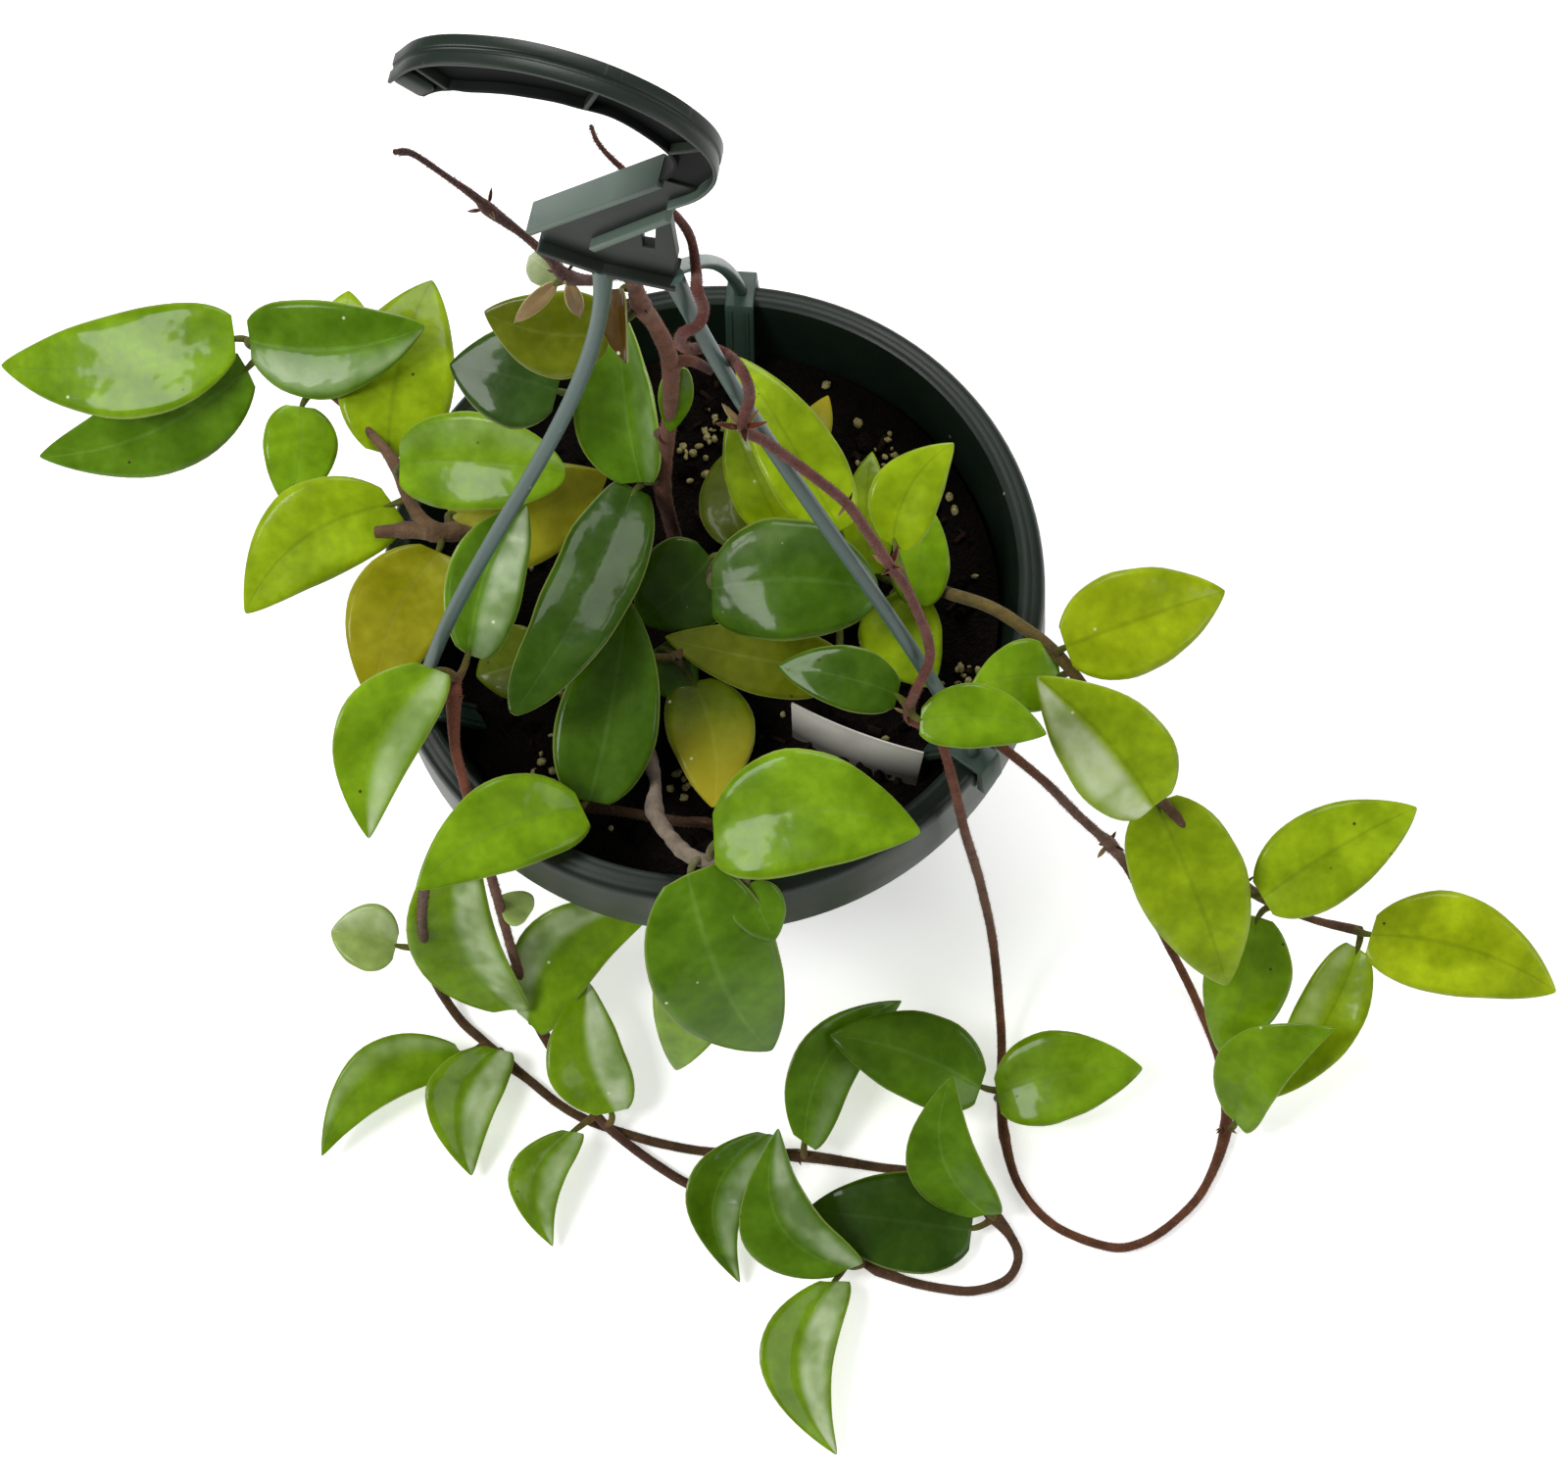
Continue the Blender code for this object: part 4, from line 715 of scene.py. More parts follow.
STRAND_SHAPES = {
    "left": (-9, 3, -2, 77, 6, 92, -23),
    "rear": (-1, 4, 4, 31, -3, 104, -30),
    "right": (8, 1, -1, 74, 16, 78, -22),
}


def hook_point(sideways, rise):
    """A point of the hook's upright plane, in millimetres from the hub."""
    return HUB + HOOK_SIDE * sideways * MM + Vector((0, 0, rise * MM))


def clip_out(which):
    """The direction from the pot's axis to a clip."""
    turn = math.radians(CLIP_TURNS[which])
    return Vector((math.cos(turn), math.sin(turn), 0))


def strand_route(which, parts=13):
    """A strand's middle line: down from the hub, then out to its clip."""
    sideways, rise, across, drop, out_near, rise_far, out_far = STRAND_SHAPES[which]
    start = hook_point(sideways, rise) + HOOK_ACROSS * across * MM
    out = clip_out(which)
    end = out * (RIM_RADIUS - RIM_LIP / 2) + Vector((0, 0, RIM_HEIGHT + GAP + CLIP_WALL - 1 * MM))
    near = start + (out * out_near - Vector((0, 0, drop))) * MM
    far = end + (Vector((0, 0, rise_far)) + out * out_far) * MM
    route = []
    for index in range(parts + 1):
        t = index / parts
        first = start * (1 - t) ** 3 + near * 3 * t * (1 - t) ** 2
        route.append(first + far * 3 * t**2 * (1 - t) + end * t**3)
    return route


def make_hook():
    """An I-section carried round the bend, with a groove in its outer band and ribs in its hollows."""
    wide, wall, deep = HOOK_WIDTH / 2 / MM, 1.0, HOOK_DEPTH / MM
    half = [(0.5, 0.45), (0.8, 0), (wide, 0), (wide, wall), (0.8, wall), (0.8, deep - wall)]
    half += [(wide * 0.8, deep - wall), (wide * 0.8, deep)]
    section = half + [(-x, y) for x, y in reversed(half)]
    route = smooth_route([(Vector((x * MM, 0, z * MM)), share) for (x, z), share in HOOK_STOPS], 2.2 * MM)
    path = [point for point, _ in route]
    headings = []
    for index in range(len(path)):
        run = path[min(index + 1, len(path) - 1)] - path[max(index - 1, 0)]
        headings.append(math.atan2(run.z, run.x))
    circle = {"vertices": len(section), "radius": 1 * MM, "fill_type": "NGON"}
    hook = fresh("hook", bpy.ops.mesh.primitive_circle_add, **circle)
    inward = Vector((-math.sin(headings[0]), 0, math.cos(headings[0])))
    for vertex, (x, y) in zip(hook.data.vertices, section):
        vertex.co = path[0] + Vector((0, x * MM, 0)) + inward * y * MM
    edit(hook)
    for index in range(1, len(path)):
        step = path[index] - path[index - 1]
        bpy.ops.mesh.extrude_region_move(TRANSFORM_OT_translate={"value": tuple(step)})
        turn = math.remainder(headings[index] - headings[index - 1], math.tau)
        bpy.ops.transform.rotate(value=turn, orient_axis="Y", center_override=tuple(path[index]))
    face_out(hook)
    inwards = [Vector((-math.sin(heading), 0, math.cos(heading))) for heading in headings]
    for vertex in hook.data.vertices:
        index = vertex.index // len(section)
        depth = (vertex.co - path[index]).dot(inwards[index])
        vertex.co += inwards[index] * depth * (route[index][1] - 1)
    applied(hook, "BEVEL", width=0.28 * MM, segments=2, limit_method="ANGLE", angle_limit=math.radians(50))
    parts = [hook]
    for place in (0.3, 0.52, 0.9):
        index = round(place * (len(path) - 1))
        share = route[index][1]
        start = path[index] + inwards[index] * (wall - 0.3) * share * MM
        end = path[index] + inwards[index] * (deep - wall + 0.3) * share * MM
        parts.append(rounded_bar("rib", start, end, HOOK_WIDTH * 0.84, 1.1 * MM, Vector((0, 1, 0))))
    last = len(path) - 1
    ends = [path[index] + inwards[index] * deep * route[index][1] * MM / 2 for index in (last - 3, last)]
    parts.append(rounded_bar("end", *ends, HOOK_WIDTH * 0.97, deep * 0.9 * MM, Vector((0, 1, 0))))
    hook.data.materials.append(HANGER_FINISH)
    hook.data.materials.append(HOLLOW_PAINTED_SHADE_FINISH)
    # faces deep in the hook's hollows take the painted shade
    for face in hook.data.polygons:
        nearest = min(range(len(path)), key=lambda index: (face.center - path[index]).xz.length)
        if (face.center - path[nearest]).dot(inwards[nearest]) > (wall + 0.2) * MM:
            face.material_index = 1
    # the ribs take the web's painted shade, the end piece the plain plastic
    for part in parts[1:]:
        finished(part, HANGER_FINISH if part is parts[-1] else WEB_PAINTED_SHADE_FINISH)
    made = join("hook", parts)
    return put(made, Matrix.Translation(HUB) @ Matrix.Rotation(HOOK_TURN, 4, "Z"))


def make_clip(which):
    """A strap bent over the rim, with two fine ribs down its inner leg."""
    out = clip_out(which)
    side = Vector((-out.y, out.x, 0))
    top = (RIM_HEIGHT + GAP + CLIP_WALL) / MM
    inner = (RIM_RADIUS - RIM_LIP - GAP * 1.6) / MM
    outer = (RIM_RADIUS + GAP * 1.4) / MM
    wall, rim = CLIP_WALL / MM, RIM_HEIGHT / MM
    outline = [
        (inner - 11, rim - 22), (inner - 12, rim - 22.4), (inner - 13, rim - 22), (inner - wall - 3, top - 8),
        (inner - wall, top - 1), (inner - wall + 1, top), (outer + wall - 0.8, top), (outer + wall, top - 1),
        (outer + wall + 1, rim - 13), (outer, rim - 13), (outer, rim + 0.4), (inner, rim + 0.4),
    ]
    upright = axes_at((0, 0, 0), out, UPRIGHT, out.cross(UPRIGHT))
    parts = [plate("strap", [outline], CLIP_WIDTH / MM, 0.35, upright)]
    for way in (-1, 1):
        low = out * (inner - 12.6) * MM + side * way * 2.6 * MM + Vector((0, 0, (rim - 21) * MM))
        high = out * (inner - wall - 0.2) * MM + side * way * 2.6 * MM + Vector((0, 0, (top - 1.2) * MM))
        parts.append(rounded_bar("clip_rib", low, high, 0.6 * MM, 0.6 * MM, side))
    return join("clip", parts)


def make_hanger():
    """Hook, web, flanges, strands and clips, moulded as one piece."""
    parts = [make_hook()]
    # the web and the lower flanges take the painted shade
    parts.append(finished(plate("web", [WEB_OUTLINE, WEB_SLOT], 3, 0.4, HOOK_PLANE), WEB_PAINTED_SHADE_FINISH))
    for start, end in FLANGE_RUNS:
        ends = hook_point(*start), hook_point(*end)
        parts.append(rounded_bar("flange", *ends, 8.5 * MM, 2.1 * MM, HOOK_ACROSS))
        finished(parts[-1], WEB_PAINTED_SHADE_FINISH if end[1] < 10 else HANGER_FINISH)
    for which in CLIP_TURNS:
        route = strand_route(which, 60)
        swell = [1 + 0.28 * math.exp(-((index / 3) ** 2)) for index in range(len(route))]
        parts.append(finished(tube("strand", list(zip(route, swell)), STRAND_RADIUS, 16), HANGER_FINISH))
        parts.append(finished(make_clip(which), HANGER_FINISH))
    hanger = join("hanger_moulding", parts)
    smooth(hanger, 38)
    return fasten(hanger, "hanger")


# Leaves


def blade_points(base, tip, width, roll, fold, arch, sweep, blunt, rows, columns, seed=None, wavy=1):
    """Middle surface of a blade from base to tip, facing the view, turned by roll about its length.

    A blunt blade (1) is oblong, a pointed one (0) tapers. With a seed the margin waves, times wavy, and
    curls back at its very edge, as on the real leaf.
    """
    length = (tip - base).length
    along = (tip - base) / length
    towards = EYE - (base + tip) / 2
    facing = (towards - along * towards.dot(along)).normalized()
    facing = Matrix.Rotation(math.radians(roll), 3, along) @ facing
    sideways = facing.cross(along)
    full, taper = BLADE_BASE - 0.1 * blunt, BLADE_TIP - 0.36 * blunt
    widest = full / (full + taper)
    fullest = widest**full * (1 - widest) ** taper
    grid = []
    for row in range(rows):
        s = 0.03 + 0.97 * (1 - math.cos(math.pi * row / (rows - 1))) / 2
        s = min(s, 0.995)
        half = width / 2 * s**full * (1 - s) ** taper / fullest
        bow = 4 * s * (1 - s) * length
        middle = base + along * (length * s) + facing * (arch * bow) + sideways * (sweep * bow)
        line = []
        for column in range(columns):
            t = 1 - 2 * column / (columns - 1)
            soft = math.sqrt(t * t + 0.003) - 0.055
            rise = half * fold * (0.6 * soft + 0.4 * t * t)
            point = middle + sideways * (half * t) + facing * rise
            if seed is not None:
                wave = noise.noise(Vector((s * 3.2, 4 * (t > 0), seed))) * 0.055 * half * t * t * wavy
                curl = 0.05 * half * max(0, (abs(t) - 0.72) / 0.28) ** 2
                pinch = 0.035 * half * noise.noise(Vector((s * 5, 9 * (t > 0), seed + 3))) * abs(t) * wavy
                point += facing * (wave * 2 - curl) + sideways * (pinch if t > 0 else -pinch)
            line.append(point)
        grid.append(line)
    return grid


def tinted(made, tint, habit=(0.5, 0.3, 0, 1)):
    """Gives every point of a mesh its tint and habit."""
    for name, value in (("tint", srgb(tint)), ("habit", habit)):
        layer = made.data.color_attributes.new(name, "FLOAT_COLOR", "POINT")
        layer.data.foreach_set("color", list(value) * len(made.data.vertices))
    return made


def make_blade(leaf, seed, rows=27, columns=13, thick=1.5 * MM):
    """A fleshy blade: a grid drawn into shape, thick along its midrib and thin at its margin."""
    base, tip = leaf["base"], leaf["tip"]
    grid = blade_points(base, tip, leaf["width"] * MM, *leaf["bends"], rows, columns, seed, leaf["wavy"])
    squares = {"x_subdivisions": columns - 1, "y_subdivisions": rows - 1, "size": 1}
    made = fresh("blade", bpy.ops.mesh.primitive_grid_add, **squares)
    fleshy = made.vertex_groups.new(name="flesh")
    for row in range(rows):
        end = math.sin(math.pi * min(1, max(0.0, (row + 0.5) / rows))) ** 0.4
        for column in range(columns):
            index = row * columns + column
            t = abs(1 - 2 * column / (columns - 1))
            point = grid[row][column]
            flesh = (1 - 0.68 * t**2.2) * (0.5 + 0.5 * end)
            point.z = max(point.z, SURFACE + thick * flesh / 2 + 0.1 * MM)
            made.data.vertices[index].co = point
            fleshy.add([index], flesh, "REPLACE")
    for one in LEAF_FINISH:
        made.data.materials.append(one)
    sides = {"material_offset": 1, "material_offset_rim": 2}
    applied(made, "SOLIDIFY", thickness=thick, offset=0, vertex_group="flesh", **sides)
    made.vertex_groups.clear()
    only(made)
    bpy.ops.object.shade_smooth()
    return tinted(made, leaf["tint"], leaf["habit"])


# Tints of leaves, as they show under soft light
TINTS = {
    "deep": "#234206", "dark": "#2d4a08", "forest": "#3b5c0a", "mid": "#52790e", "fresh": "#6c920e",
    "lime": "#84a00c", "bright": "#97ad0e", "olive": "#5c660c", "moss": "#4f5d0c", "yellow": "#a3970e",
    "straw": "#8a8a18", "sea": "#2f4a16", "rust": "#46320e", "blush": "#86704c", "downy": "#7f8d5c",
    "pale": "#a0b866", "red": "#55291a", "umber": "#42271a", "turning": "#596a0c",
}
# share of dark veins against pale ones, and yellowing, for the tints that differ from the rest
DARK_VEINS = {"fresh": 0.7, "lime": 0.95, "bright": 1.0, "straw": 0.6, "yellow": 0.7, "pale": 0.5}
YELLOWING = {"yellow": 0.75, "straw": 0.25, "turning": 0.95}


def leaf(base, tip, width, roll, fold, arch, sweep, tint, painted_glare=0.0, blunt=0.0, wavy=1.0):
    """A leaf by where its ends show, as (column, row, height in mm).

    A pale painted highlight lies on its left (-) or right (+) half, and blunt and wavy are as in
    blade_points.
    """
    # the habit's first value places the painted highlight
    habit = (0.5 + painted_glare / 2, DARK_VEINS.get(tint, 0.12), YELLOWING.get(tint, 0), 1)
    return {
        "base": sight(*base), "tip": sight(*tip), "width": width, "bends": (roll, fold, arch, sweep, blunt),
        "tint": TINTS[tint], "habit": habit, "wavy": wavy,
    }


def scale_leaf(base, heading, length, width, tint):
    """A bract or bud scale from a point along a direction, in millimetres."""
    tip = base + heading.normalized() * length * MM
    return {
        "base": base, "tip": tip, "width": width, "bends": (0, 0.35, 0.1, 0, 0),
        "tint": TINTS[tint], "habit": (0.5, 0.2, 0, 1), "wavy": 1,
    }


def nearest_on(route, point):
    """Nearest point on a route, and the route's direction there."""
    best = None
    for (start, _), (end, _) in zip(route, route[1:]):
        run = end - start
        if run.length_squared == 0:
            continue
        share = max(0, min(1, (point - start).dot(run) / run.length_squared))
        found = start + run * share
        if best is None or (found - point).length < (best[0] - point).length:
            best = (found, run.normalized())
    return best


def make_stalk(leaf_plan, routes, tint):
    """The short fleshy stalk from the nearest stem into the blade's base."""
    base, tip = leaf_plan["base"], leaf_plan["tip"]
    length = (tip - base).length
    grid = blade_points(base, tip, leaf_plan["width"] * MM, *leaf_plan["bends"], 7, 3)
    inside = grid[1][1].lerp(grid[2][1], 0.15)
    inside.z = max(inside.z, SURFACE + 1.3 * MM)
    start, _ = min((nearest_on(route, base) for route in routes), key=lambda found: (found[0] - base).length)
    middle = base + (base - inside).normalized() * min(2 * MM, length / 20)
    middle.z = max(middle.z, SURFACE + 1.3 * MM)
    run = []
    for part in range(11):
        t = part / 10
        point = start * (1 - t) ** 2 + middle * 2 * t * (1 - t) + inside * t**2
        run.append((point, 1.25 - 0.35 * min(1, t * 3) - 1.1 * max(0, t - 0.5)))
    return paint_run(tube("stalk", run, 1.25 * MM, 10), run, 10, [(0, tint), (1, TINTS["moss"])])


def paint_run(made, run, sides, tints):
    """Tints a tube along its run: tints are (share of the run, hex) stops."""
    count = len(run)
    values = []
    for index in range(len(made.data.vertices)):
        share = min(index // sides, count - 1) / max(1, count - 1)
        low, high = tints[0], tints[-1]
        for one, two in zip(tints, tints[1:]):
            if one[0] <= share <= two[0]:
                low, high = one, two
        part = (share - low[0]) / max(1e-6, high[0] - low[0])
        part = max(0, min(1, part))
        start, end = srgb(low[1]), srgb(high[1])
        values += [s + (e - s) * part for s, e in zip(start, end)]
    layer = made.data.color_attributes.new("tint", "FLOAT_COLOR", "POINT")
    layer.data.foreach_set("color", values)
    return made


HAIR = 0.07 * MM


def fuzz(name, runs, per_mm, tint, rng):
    """Short hairs all round the runs, each a thin closed spike of four faces."""
    points, faces = [], []
    for run, depth in runs:
        for (start, size), (end, _) in zip(run, run[1:]):
            if (end - start).length == 0:
                continue
            count = (end - start).length / MM * per_mm
            count = int(count) + (rng.random() < count % 1)
            side = (end - start).orthogonal().normalized()
            along = (end - start).normalized()
            over = along.cross(side)
            for _ in range(count):
                turn = rng.uniform(0, math.tau)
                out = side * math.cos(turn) + over * math.sin(turn)
                foot = start + (end - start) * rng.random() + out * depth * size * 0.9
                lean = out + along * rng.uniform(-0.5, 0.7)
                tip = foot + lean * rng.uniform(0.45, 0.95) * MM
                tip.z = max(tip.z, 0.1 * MM)
                first = len(points)
                wide, long = out.cross(along) * HAIR, along * HAIR
                points += [foot + long, foot + wide, foot - wide, tip]
                faces += [(first, first + 1, first + 3), (first + 1, first + 2, first + 3)]
                faces += [(first + 2, first, first + 3), (first, first + 2, first + 1)]
    mesh = bpy.data.meshes.new(name)
    mesh.from_pydata(points, [], faces)
    made = bpy.data.objects.new(name, mesh)
    bpy.context.scene.collection.objects.link(made)
    face_out(made)
    layer = mesh.color_attributes.new("tint", "FLOAT_COLOR", "POINT")
    layer.data.foreach_set("color", list(srgb(tint)) * len(mesh.vertices))
    return made


# Stems and leaves of each stem's node. A stop is (column, row, height, size), and the first is the root.
# A bract is (stop, how many scales, their length); a strand's bract or stop has a lift for its height.

PLANT = {
    "left_spray": {
        "radius": 2.0,
        "finish": CORKY,
        "lumps": 0.12,
        "tints": [(0, "#3f2c1e"), (0.22, "#7a6246"), (0.35, "#6f573f"), (1, "#5d4332")],
        "stem": [
            (536, 560, 115), (505, 548, 136), (462, 543, 150, 1.4), (440, 541, 154, 1.5),
            (418, 512, 156, 0.9), (402, 472, 157, 0.95), (376, 440, 156, 0.7), (348, 410, 154, 0.7),
            (300, 380, 154, 0.6), (256, 352, 157, 0.7),
        ],
        "side_stems": [
            [(440, 541, 154, 1.5), (412, 541, 153, 1.3), (384, 543, 151, 1.0)],
        ],
        "leaves": [
            leaf((247, 341, 164), (1, 373, 150), 34, 8, 0.12, 0.05, 0.07, "fresh"),
            leaf((258, 372, 154), (40, 466, 132), 30, -12, 0.15, 0.03, 0.08, "mid"),
            leaf((250, 345, 166), (434, 333, 172), 31, 6, 0.22, 0.05, -0.08, "mid", 0.4),
            leaf((306, 412, 158), (294, 519, 148), 23, 0, 0.1, 0.06, 0.05, "fresh"),
            leaf((345, 398, 154), (356, 297, 153), 22, 0, 0.1, 0.05, 0, "lime"),
            leaf((396, 470, 152), (441, 286, 158), 36, 0, 0.08, 0.04, 0.06, "lime"),
            leaf((408, 514, 152), (250, 626, 140), 31, 0, 0.1, 0.05, -0.14, "lime"),
            leaf((404, 474, 168), (578, 483, 176), 30, 6, 0.18, 0.06, 0.05, "fresh", -0.3, 0.8),
            leaf((452, 560, 154), (381, 722, 146), 31, 0, 0.15, 0.05, -0.1, "straw"),
            leaf((452, 520, 148), (620, 484, 150), 34, 0, 0.1, 0.04, -0.12, "straw"),
        ],
    },
    "climbing_stem": {
        "radius": 2.3,
        "finish": DOWNY,
        "lumps": 0.05,
        "tints": [
            (0, "#3b2015"), (0.2, "#5c3526"), (0.55, "#6b402e"), (0.68, "#67463a"), (0.8, "#452b28"),
            (1, "#3a2222"),
        ],
        "stem": [
            (690, 556, 115), (683, 528, 134), (676, 497, 156, 1.15), (680, 455, 184), (684, 415, 212),
            (683, 366, 246, 1.1), (668, 331, 268), (654, 312, 284, 1.2), (645, 286, 300, 0.85),
            (630, 280, 318, 0.6), (604, 286, 330, 0.6), (577, 281, 342, 0.85), (559, 262, 352, 0.5),
            (533, 239, 362, 0.45), (499, 214, 374, 0.75), (485, 201, 380, 0.45), (457, 181, 390, 0.34),
            (423, 158, 402, 0.34), (410, 155, 406, 0.42), (403, 155, 408, 0.2),
        ],
        "side_stems": [
            [(682, 372, 244, 0.9), (704, 368, 242, 0.7), (726, 378, 236, 0.6)],
            [(679, 446, 192, 0.9), (664, 436, 176, 0.7), (640, 424, 166, 0.6), (606, 410, 170, 0.6),
             (582, 402, 186, 0.55)],
        ],
        "leaves": [
            leaf((648, 492, 164), (523, 730, 176), 26, 6, 0.14, 0.05, 0.04, "dark", 0, 0.7, 2.6),
            leaf((656, 497, 166), (634, 314, 194), 29, -32, 0.6, 0.03, 0.02, "mid", 0.35),
            leaf((626, 338, 284), (494, 318, 290), 25, -16, 0.12, 0.06, 0.07, "olive"),
            leaf((633, 292, 292), (640, 371, 282), 11, 50, 0.5, 0.05, 0, "rust"),
            leaf((572, 400, 204), (459, 372, 206), 30, 0, 0.1, 0.05, -0.03, "sea"),
            leaf((694, 372, 230), (684, 440, 200), 10, 0, 0.15, 0.02, 0, "mid"),
            leaf((568, 288, 338), (525, 329, 326), 4.6, 0, 0.5, 0.05, 0, "blush"),
            leaf((580, 288, 338), (592, 324, 326), 4.4, 0, 0.5, 0.05, 0, "blush"),
            leaf((572, 284, 336), (541, 262, 322), 10, 0, 0.2, 0.05, 0, "downy"),
        ],
        "bracts": [((654, 312, 285), 3, 3.4), ((577, 281, 343), 3, 3.0), ((499, 214, 375), 3, 4.0)],
    },
    "centre_leaves": {
        "radius": 1.8,
        "finish": CORKY,
        "lumps": 0.08,
        "tints": [(0, "#33261a"), (1, "#4f4126")],
        "stem": [
            (742, 640, 115), (738, 618, 132), (728, 590, 148, 1.2), (742, 562, 150), (772, 548, 150),
            (822, 553, 150), (856, 548, 152, 0.9),
        ],
        "side_stems": [
            [(735, 612, 136), (712, 640, 138), (690, 672, 138, 0.9)],
        ],
        "leaves": [
            leaf((722, 602, 160), (897, 604, 160), 37, 0, 0.06, 0.1, 0.07, "forest", -0.22, 0.8, 1.6),
            leaf((727, 566, 150), (650, 634, 140), 30, 0, 0.1, 0.04, 0.05, "dark"),
            leaf((668, 660, 133), (707, 716, 127), 17, 0, 0.1, 0.04, 0, "forest"),
            leaf((866, 686, 132), (678, 650, 140), 22, 0, 0.15, 0.03, 0.02, "olive"),
            leaf((860, 548, 158), (752, 364, 172), 25, 12, 0.12, 0.05, 0.0, "lime"),
            leaf((800, 545, 146), (744, 424, 162), 20, -8, 0.12, 0.05, 0, "lime"),
            leaf((756, 560, 138), (741, 462, 128), 22, 0, 0.15, 0.04, 0, "moss"),
            leaf((812, 480, 138), (845, 404, 130), 12, 0, 0.15, 0.02, 0, "turning"),
            leaf((706, 692, 129), (728, 825, 124), 27, 0, 0.12, 0.04, 0.08, "turning"),
            leaf((560, 668, 136), (486, 690, 132), 24, 0, 0.12, 0.04, 0, "moss"),
        ],
    },
    "right_spray": {
        "radius": 2.0,
        "finish": CORKY,
        "lumps": 0.06,
        "tints": [(0, "#3a3018"), (0.3, "#615329"), (0.6, "#523c24"), (1, "#503325")],
        "stem": [
            (915, 590, 115), (935, 594, 126), (967, 605, 140), (1007, 618, 150), (1038, 636, 153),
            (1079, 668, 152, 1.0), (1122, 722, 146, 0.7), (1160, 775, 134, 0.7), (1184, 815, 118, 0.9),
            (1228, 862, 98, 0.65), (1272, 906, 76, 0.95), (1330, 935, 56, 0.6), (1388, 950, 44, 0.85),
        ],
        "leaves": [
            leaf((1082, 662, 156), (1250, 603, 150), 32, 0, 0.1, 0.05, 0.01, "bright"),
            leaf((1084, 690, 148), (991, 700, 152), 22, 0, 0.1, 0.05, -0.05, "fresh"),
            leaf((1180, 826, 128), (1058, 690, 160), 33, -10, 0.2, 0.05, -0.06, "lime", -1.0),
            leaf((1176, 812, 114), (1252, 1006, 62), 35, 0, 0.14, 0.04, 0.02, "lime"),
            leaf((1284, 920, 84), (1446, 824, 92), 30, 0, 0.12, 0.05, 0.03, "lime"),
            leaf((1392, 954, 50), (1588, 1012, 42), 33, 0, 0.12, 0.05, 0.08, "bright"),
            leaf((1282, 930, 58), (1246, 1076, 16), 28, 0, 0.12, 0.05, 0.04, "fresh"),
            leaf((1388, 962, 42), (1290, 1122, 8), 22, 0, 0.3, 0.05, 0.06, "lime", 0.5),
            leaf((936, 620, 140), (950, 519, 152), 18, 0, 0.12, 0.1, 0.03, "fresh"),
            leaf((890, 590, 140), (890, 461, 146), 16, 0, 0.12, 0.05, 0.05, "lime"),
            leaf((905, 606, 130), (952, 702, 128), 26, 0, 0.1, 0.04, -0.05, "lime"),
        ],
        "bracts": [((1079, 668, 154), 2, 3.0), ((1272, 906, 78), 2, 3.0)],
    },
    "right_loop_vine": {
        "radius": 1.45,
        "finish": DOWNY,
        "lumps": 0.05,
        "tints": [(0, "#482b1a"), (0.2, "#5a3220"), (0.55, "#5e3a22"), (0.72, "#653a33"), (1, "#4f2722")],
        "stem": [
            (962, 712, 115), (984, 726, 136), (1008, 750, 152), (1064, 796, 138), (1098, 830, 106),
            (1120, 850, 84), (1133, 862, 68, 1.5), (1152, 888, 46), (1190, 960, 14), (1220, 1020, 3),
            (1245, 1085, 3), (1251, 1150, 3, 1.4), (1230, 1210, 3), (1200, 1245, 3), (1165, 1268, 3),
            (1130, 1272, 3), (1075, 1250, 3), (1040, 1210, 3), (1025, 1160, 4, 1.2), (1022, 1120, 5, 1.2),
            (1022, 1065, 10), (1020, 1030, 16), (1013, 960, 44), (1000, 900, 88), (985, 850, 134),
            (973, 800, 158), (960, 757, 165), (944, 742, 168), (927, 731, 170, 1.5),
        ],
        "climb": [
            (927, 731, 170), (935, 704, 10), (948, 676, 10), (947, 653, 8), (937, 626, 8), (923, 597, 8),
            (909, 578, 8), (884, 541, 8), (864, 514, 8), (835, 490, 8), (808, 470, 7), (780, 450, 7),
            (758, 436, 7), (765, 405, 8), (758, 380, 9), (742, 362, -8), (722, 355, -9), (704, 356, -8),
            (694, 350, -2), (697, 340, 6), (712, 332, 10), (718, 316, 9), (711, 294, 9),
        ],
        "hub_stops": [(12.5, -3, 3), (10, 5, 9), (4, 20, 9), (-4, 33, 9), (-8, 42, 9), (-9, 50, 9)],
        "hub_sizes": [0.9, 0.8, 0.65, 0.5, 0.4, 0.3],
        "leaves": [
            leaf((1262, 1150, 8), (1362, 1049, 48), 24, 0, 0.2, 0.06, 0.18, "fresh"),
            leaf((1014, 1120, 12), (1166, 1090, 18), 30, 0, 0.12, 0.08, 0.06, "fresh"),
            leaf((1004, 1112, 14), (846, 1056, 26), 30, 0, 0.14, 0.08, -0.06, "mid"),
            leaf((920, 710, 170), (793, 680, 170), 19, 0, 0.2, 0.06, -0.04, "forest"),
            leaf((935, 737, 180), (1068, 749, 176), 19, 0, 0.1, 0.06, 0.09, "fresh"),
            leaf((911, 560, 214), (973, 452, 226), 20, 0, 0.15, 0.06, 0.13, "lime"),
        ],
        "bracts": [((1133, 862, 69), 4, 5.5), ((1251, 1150, 5), 4, 4.5), ((927, 731, 172), 3, 4.5)],
        "strand_bracts": [((758, 436, 7), 5, 7.0), ((909, 578, 8), 4, 5.0), ((864, 514, 8), 2, 3.5)],
    },
    "left_loop_vine": {
        "radius": 1.55,
        "finish": DOWNY,
        "lumps": 0.05,
        "tints": [(0, "#35210f"), (0.2, "#46301d"), (0.45, "#4b3620"), (0.75, "#50352a"), (1, "#6d3d2c")],
        "stem": [
            (728, 846, 115), (690, 838, 121), (640, 829, 124), (598, 824, 130), (568, 828, 140),
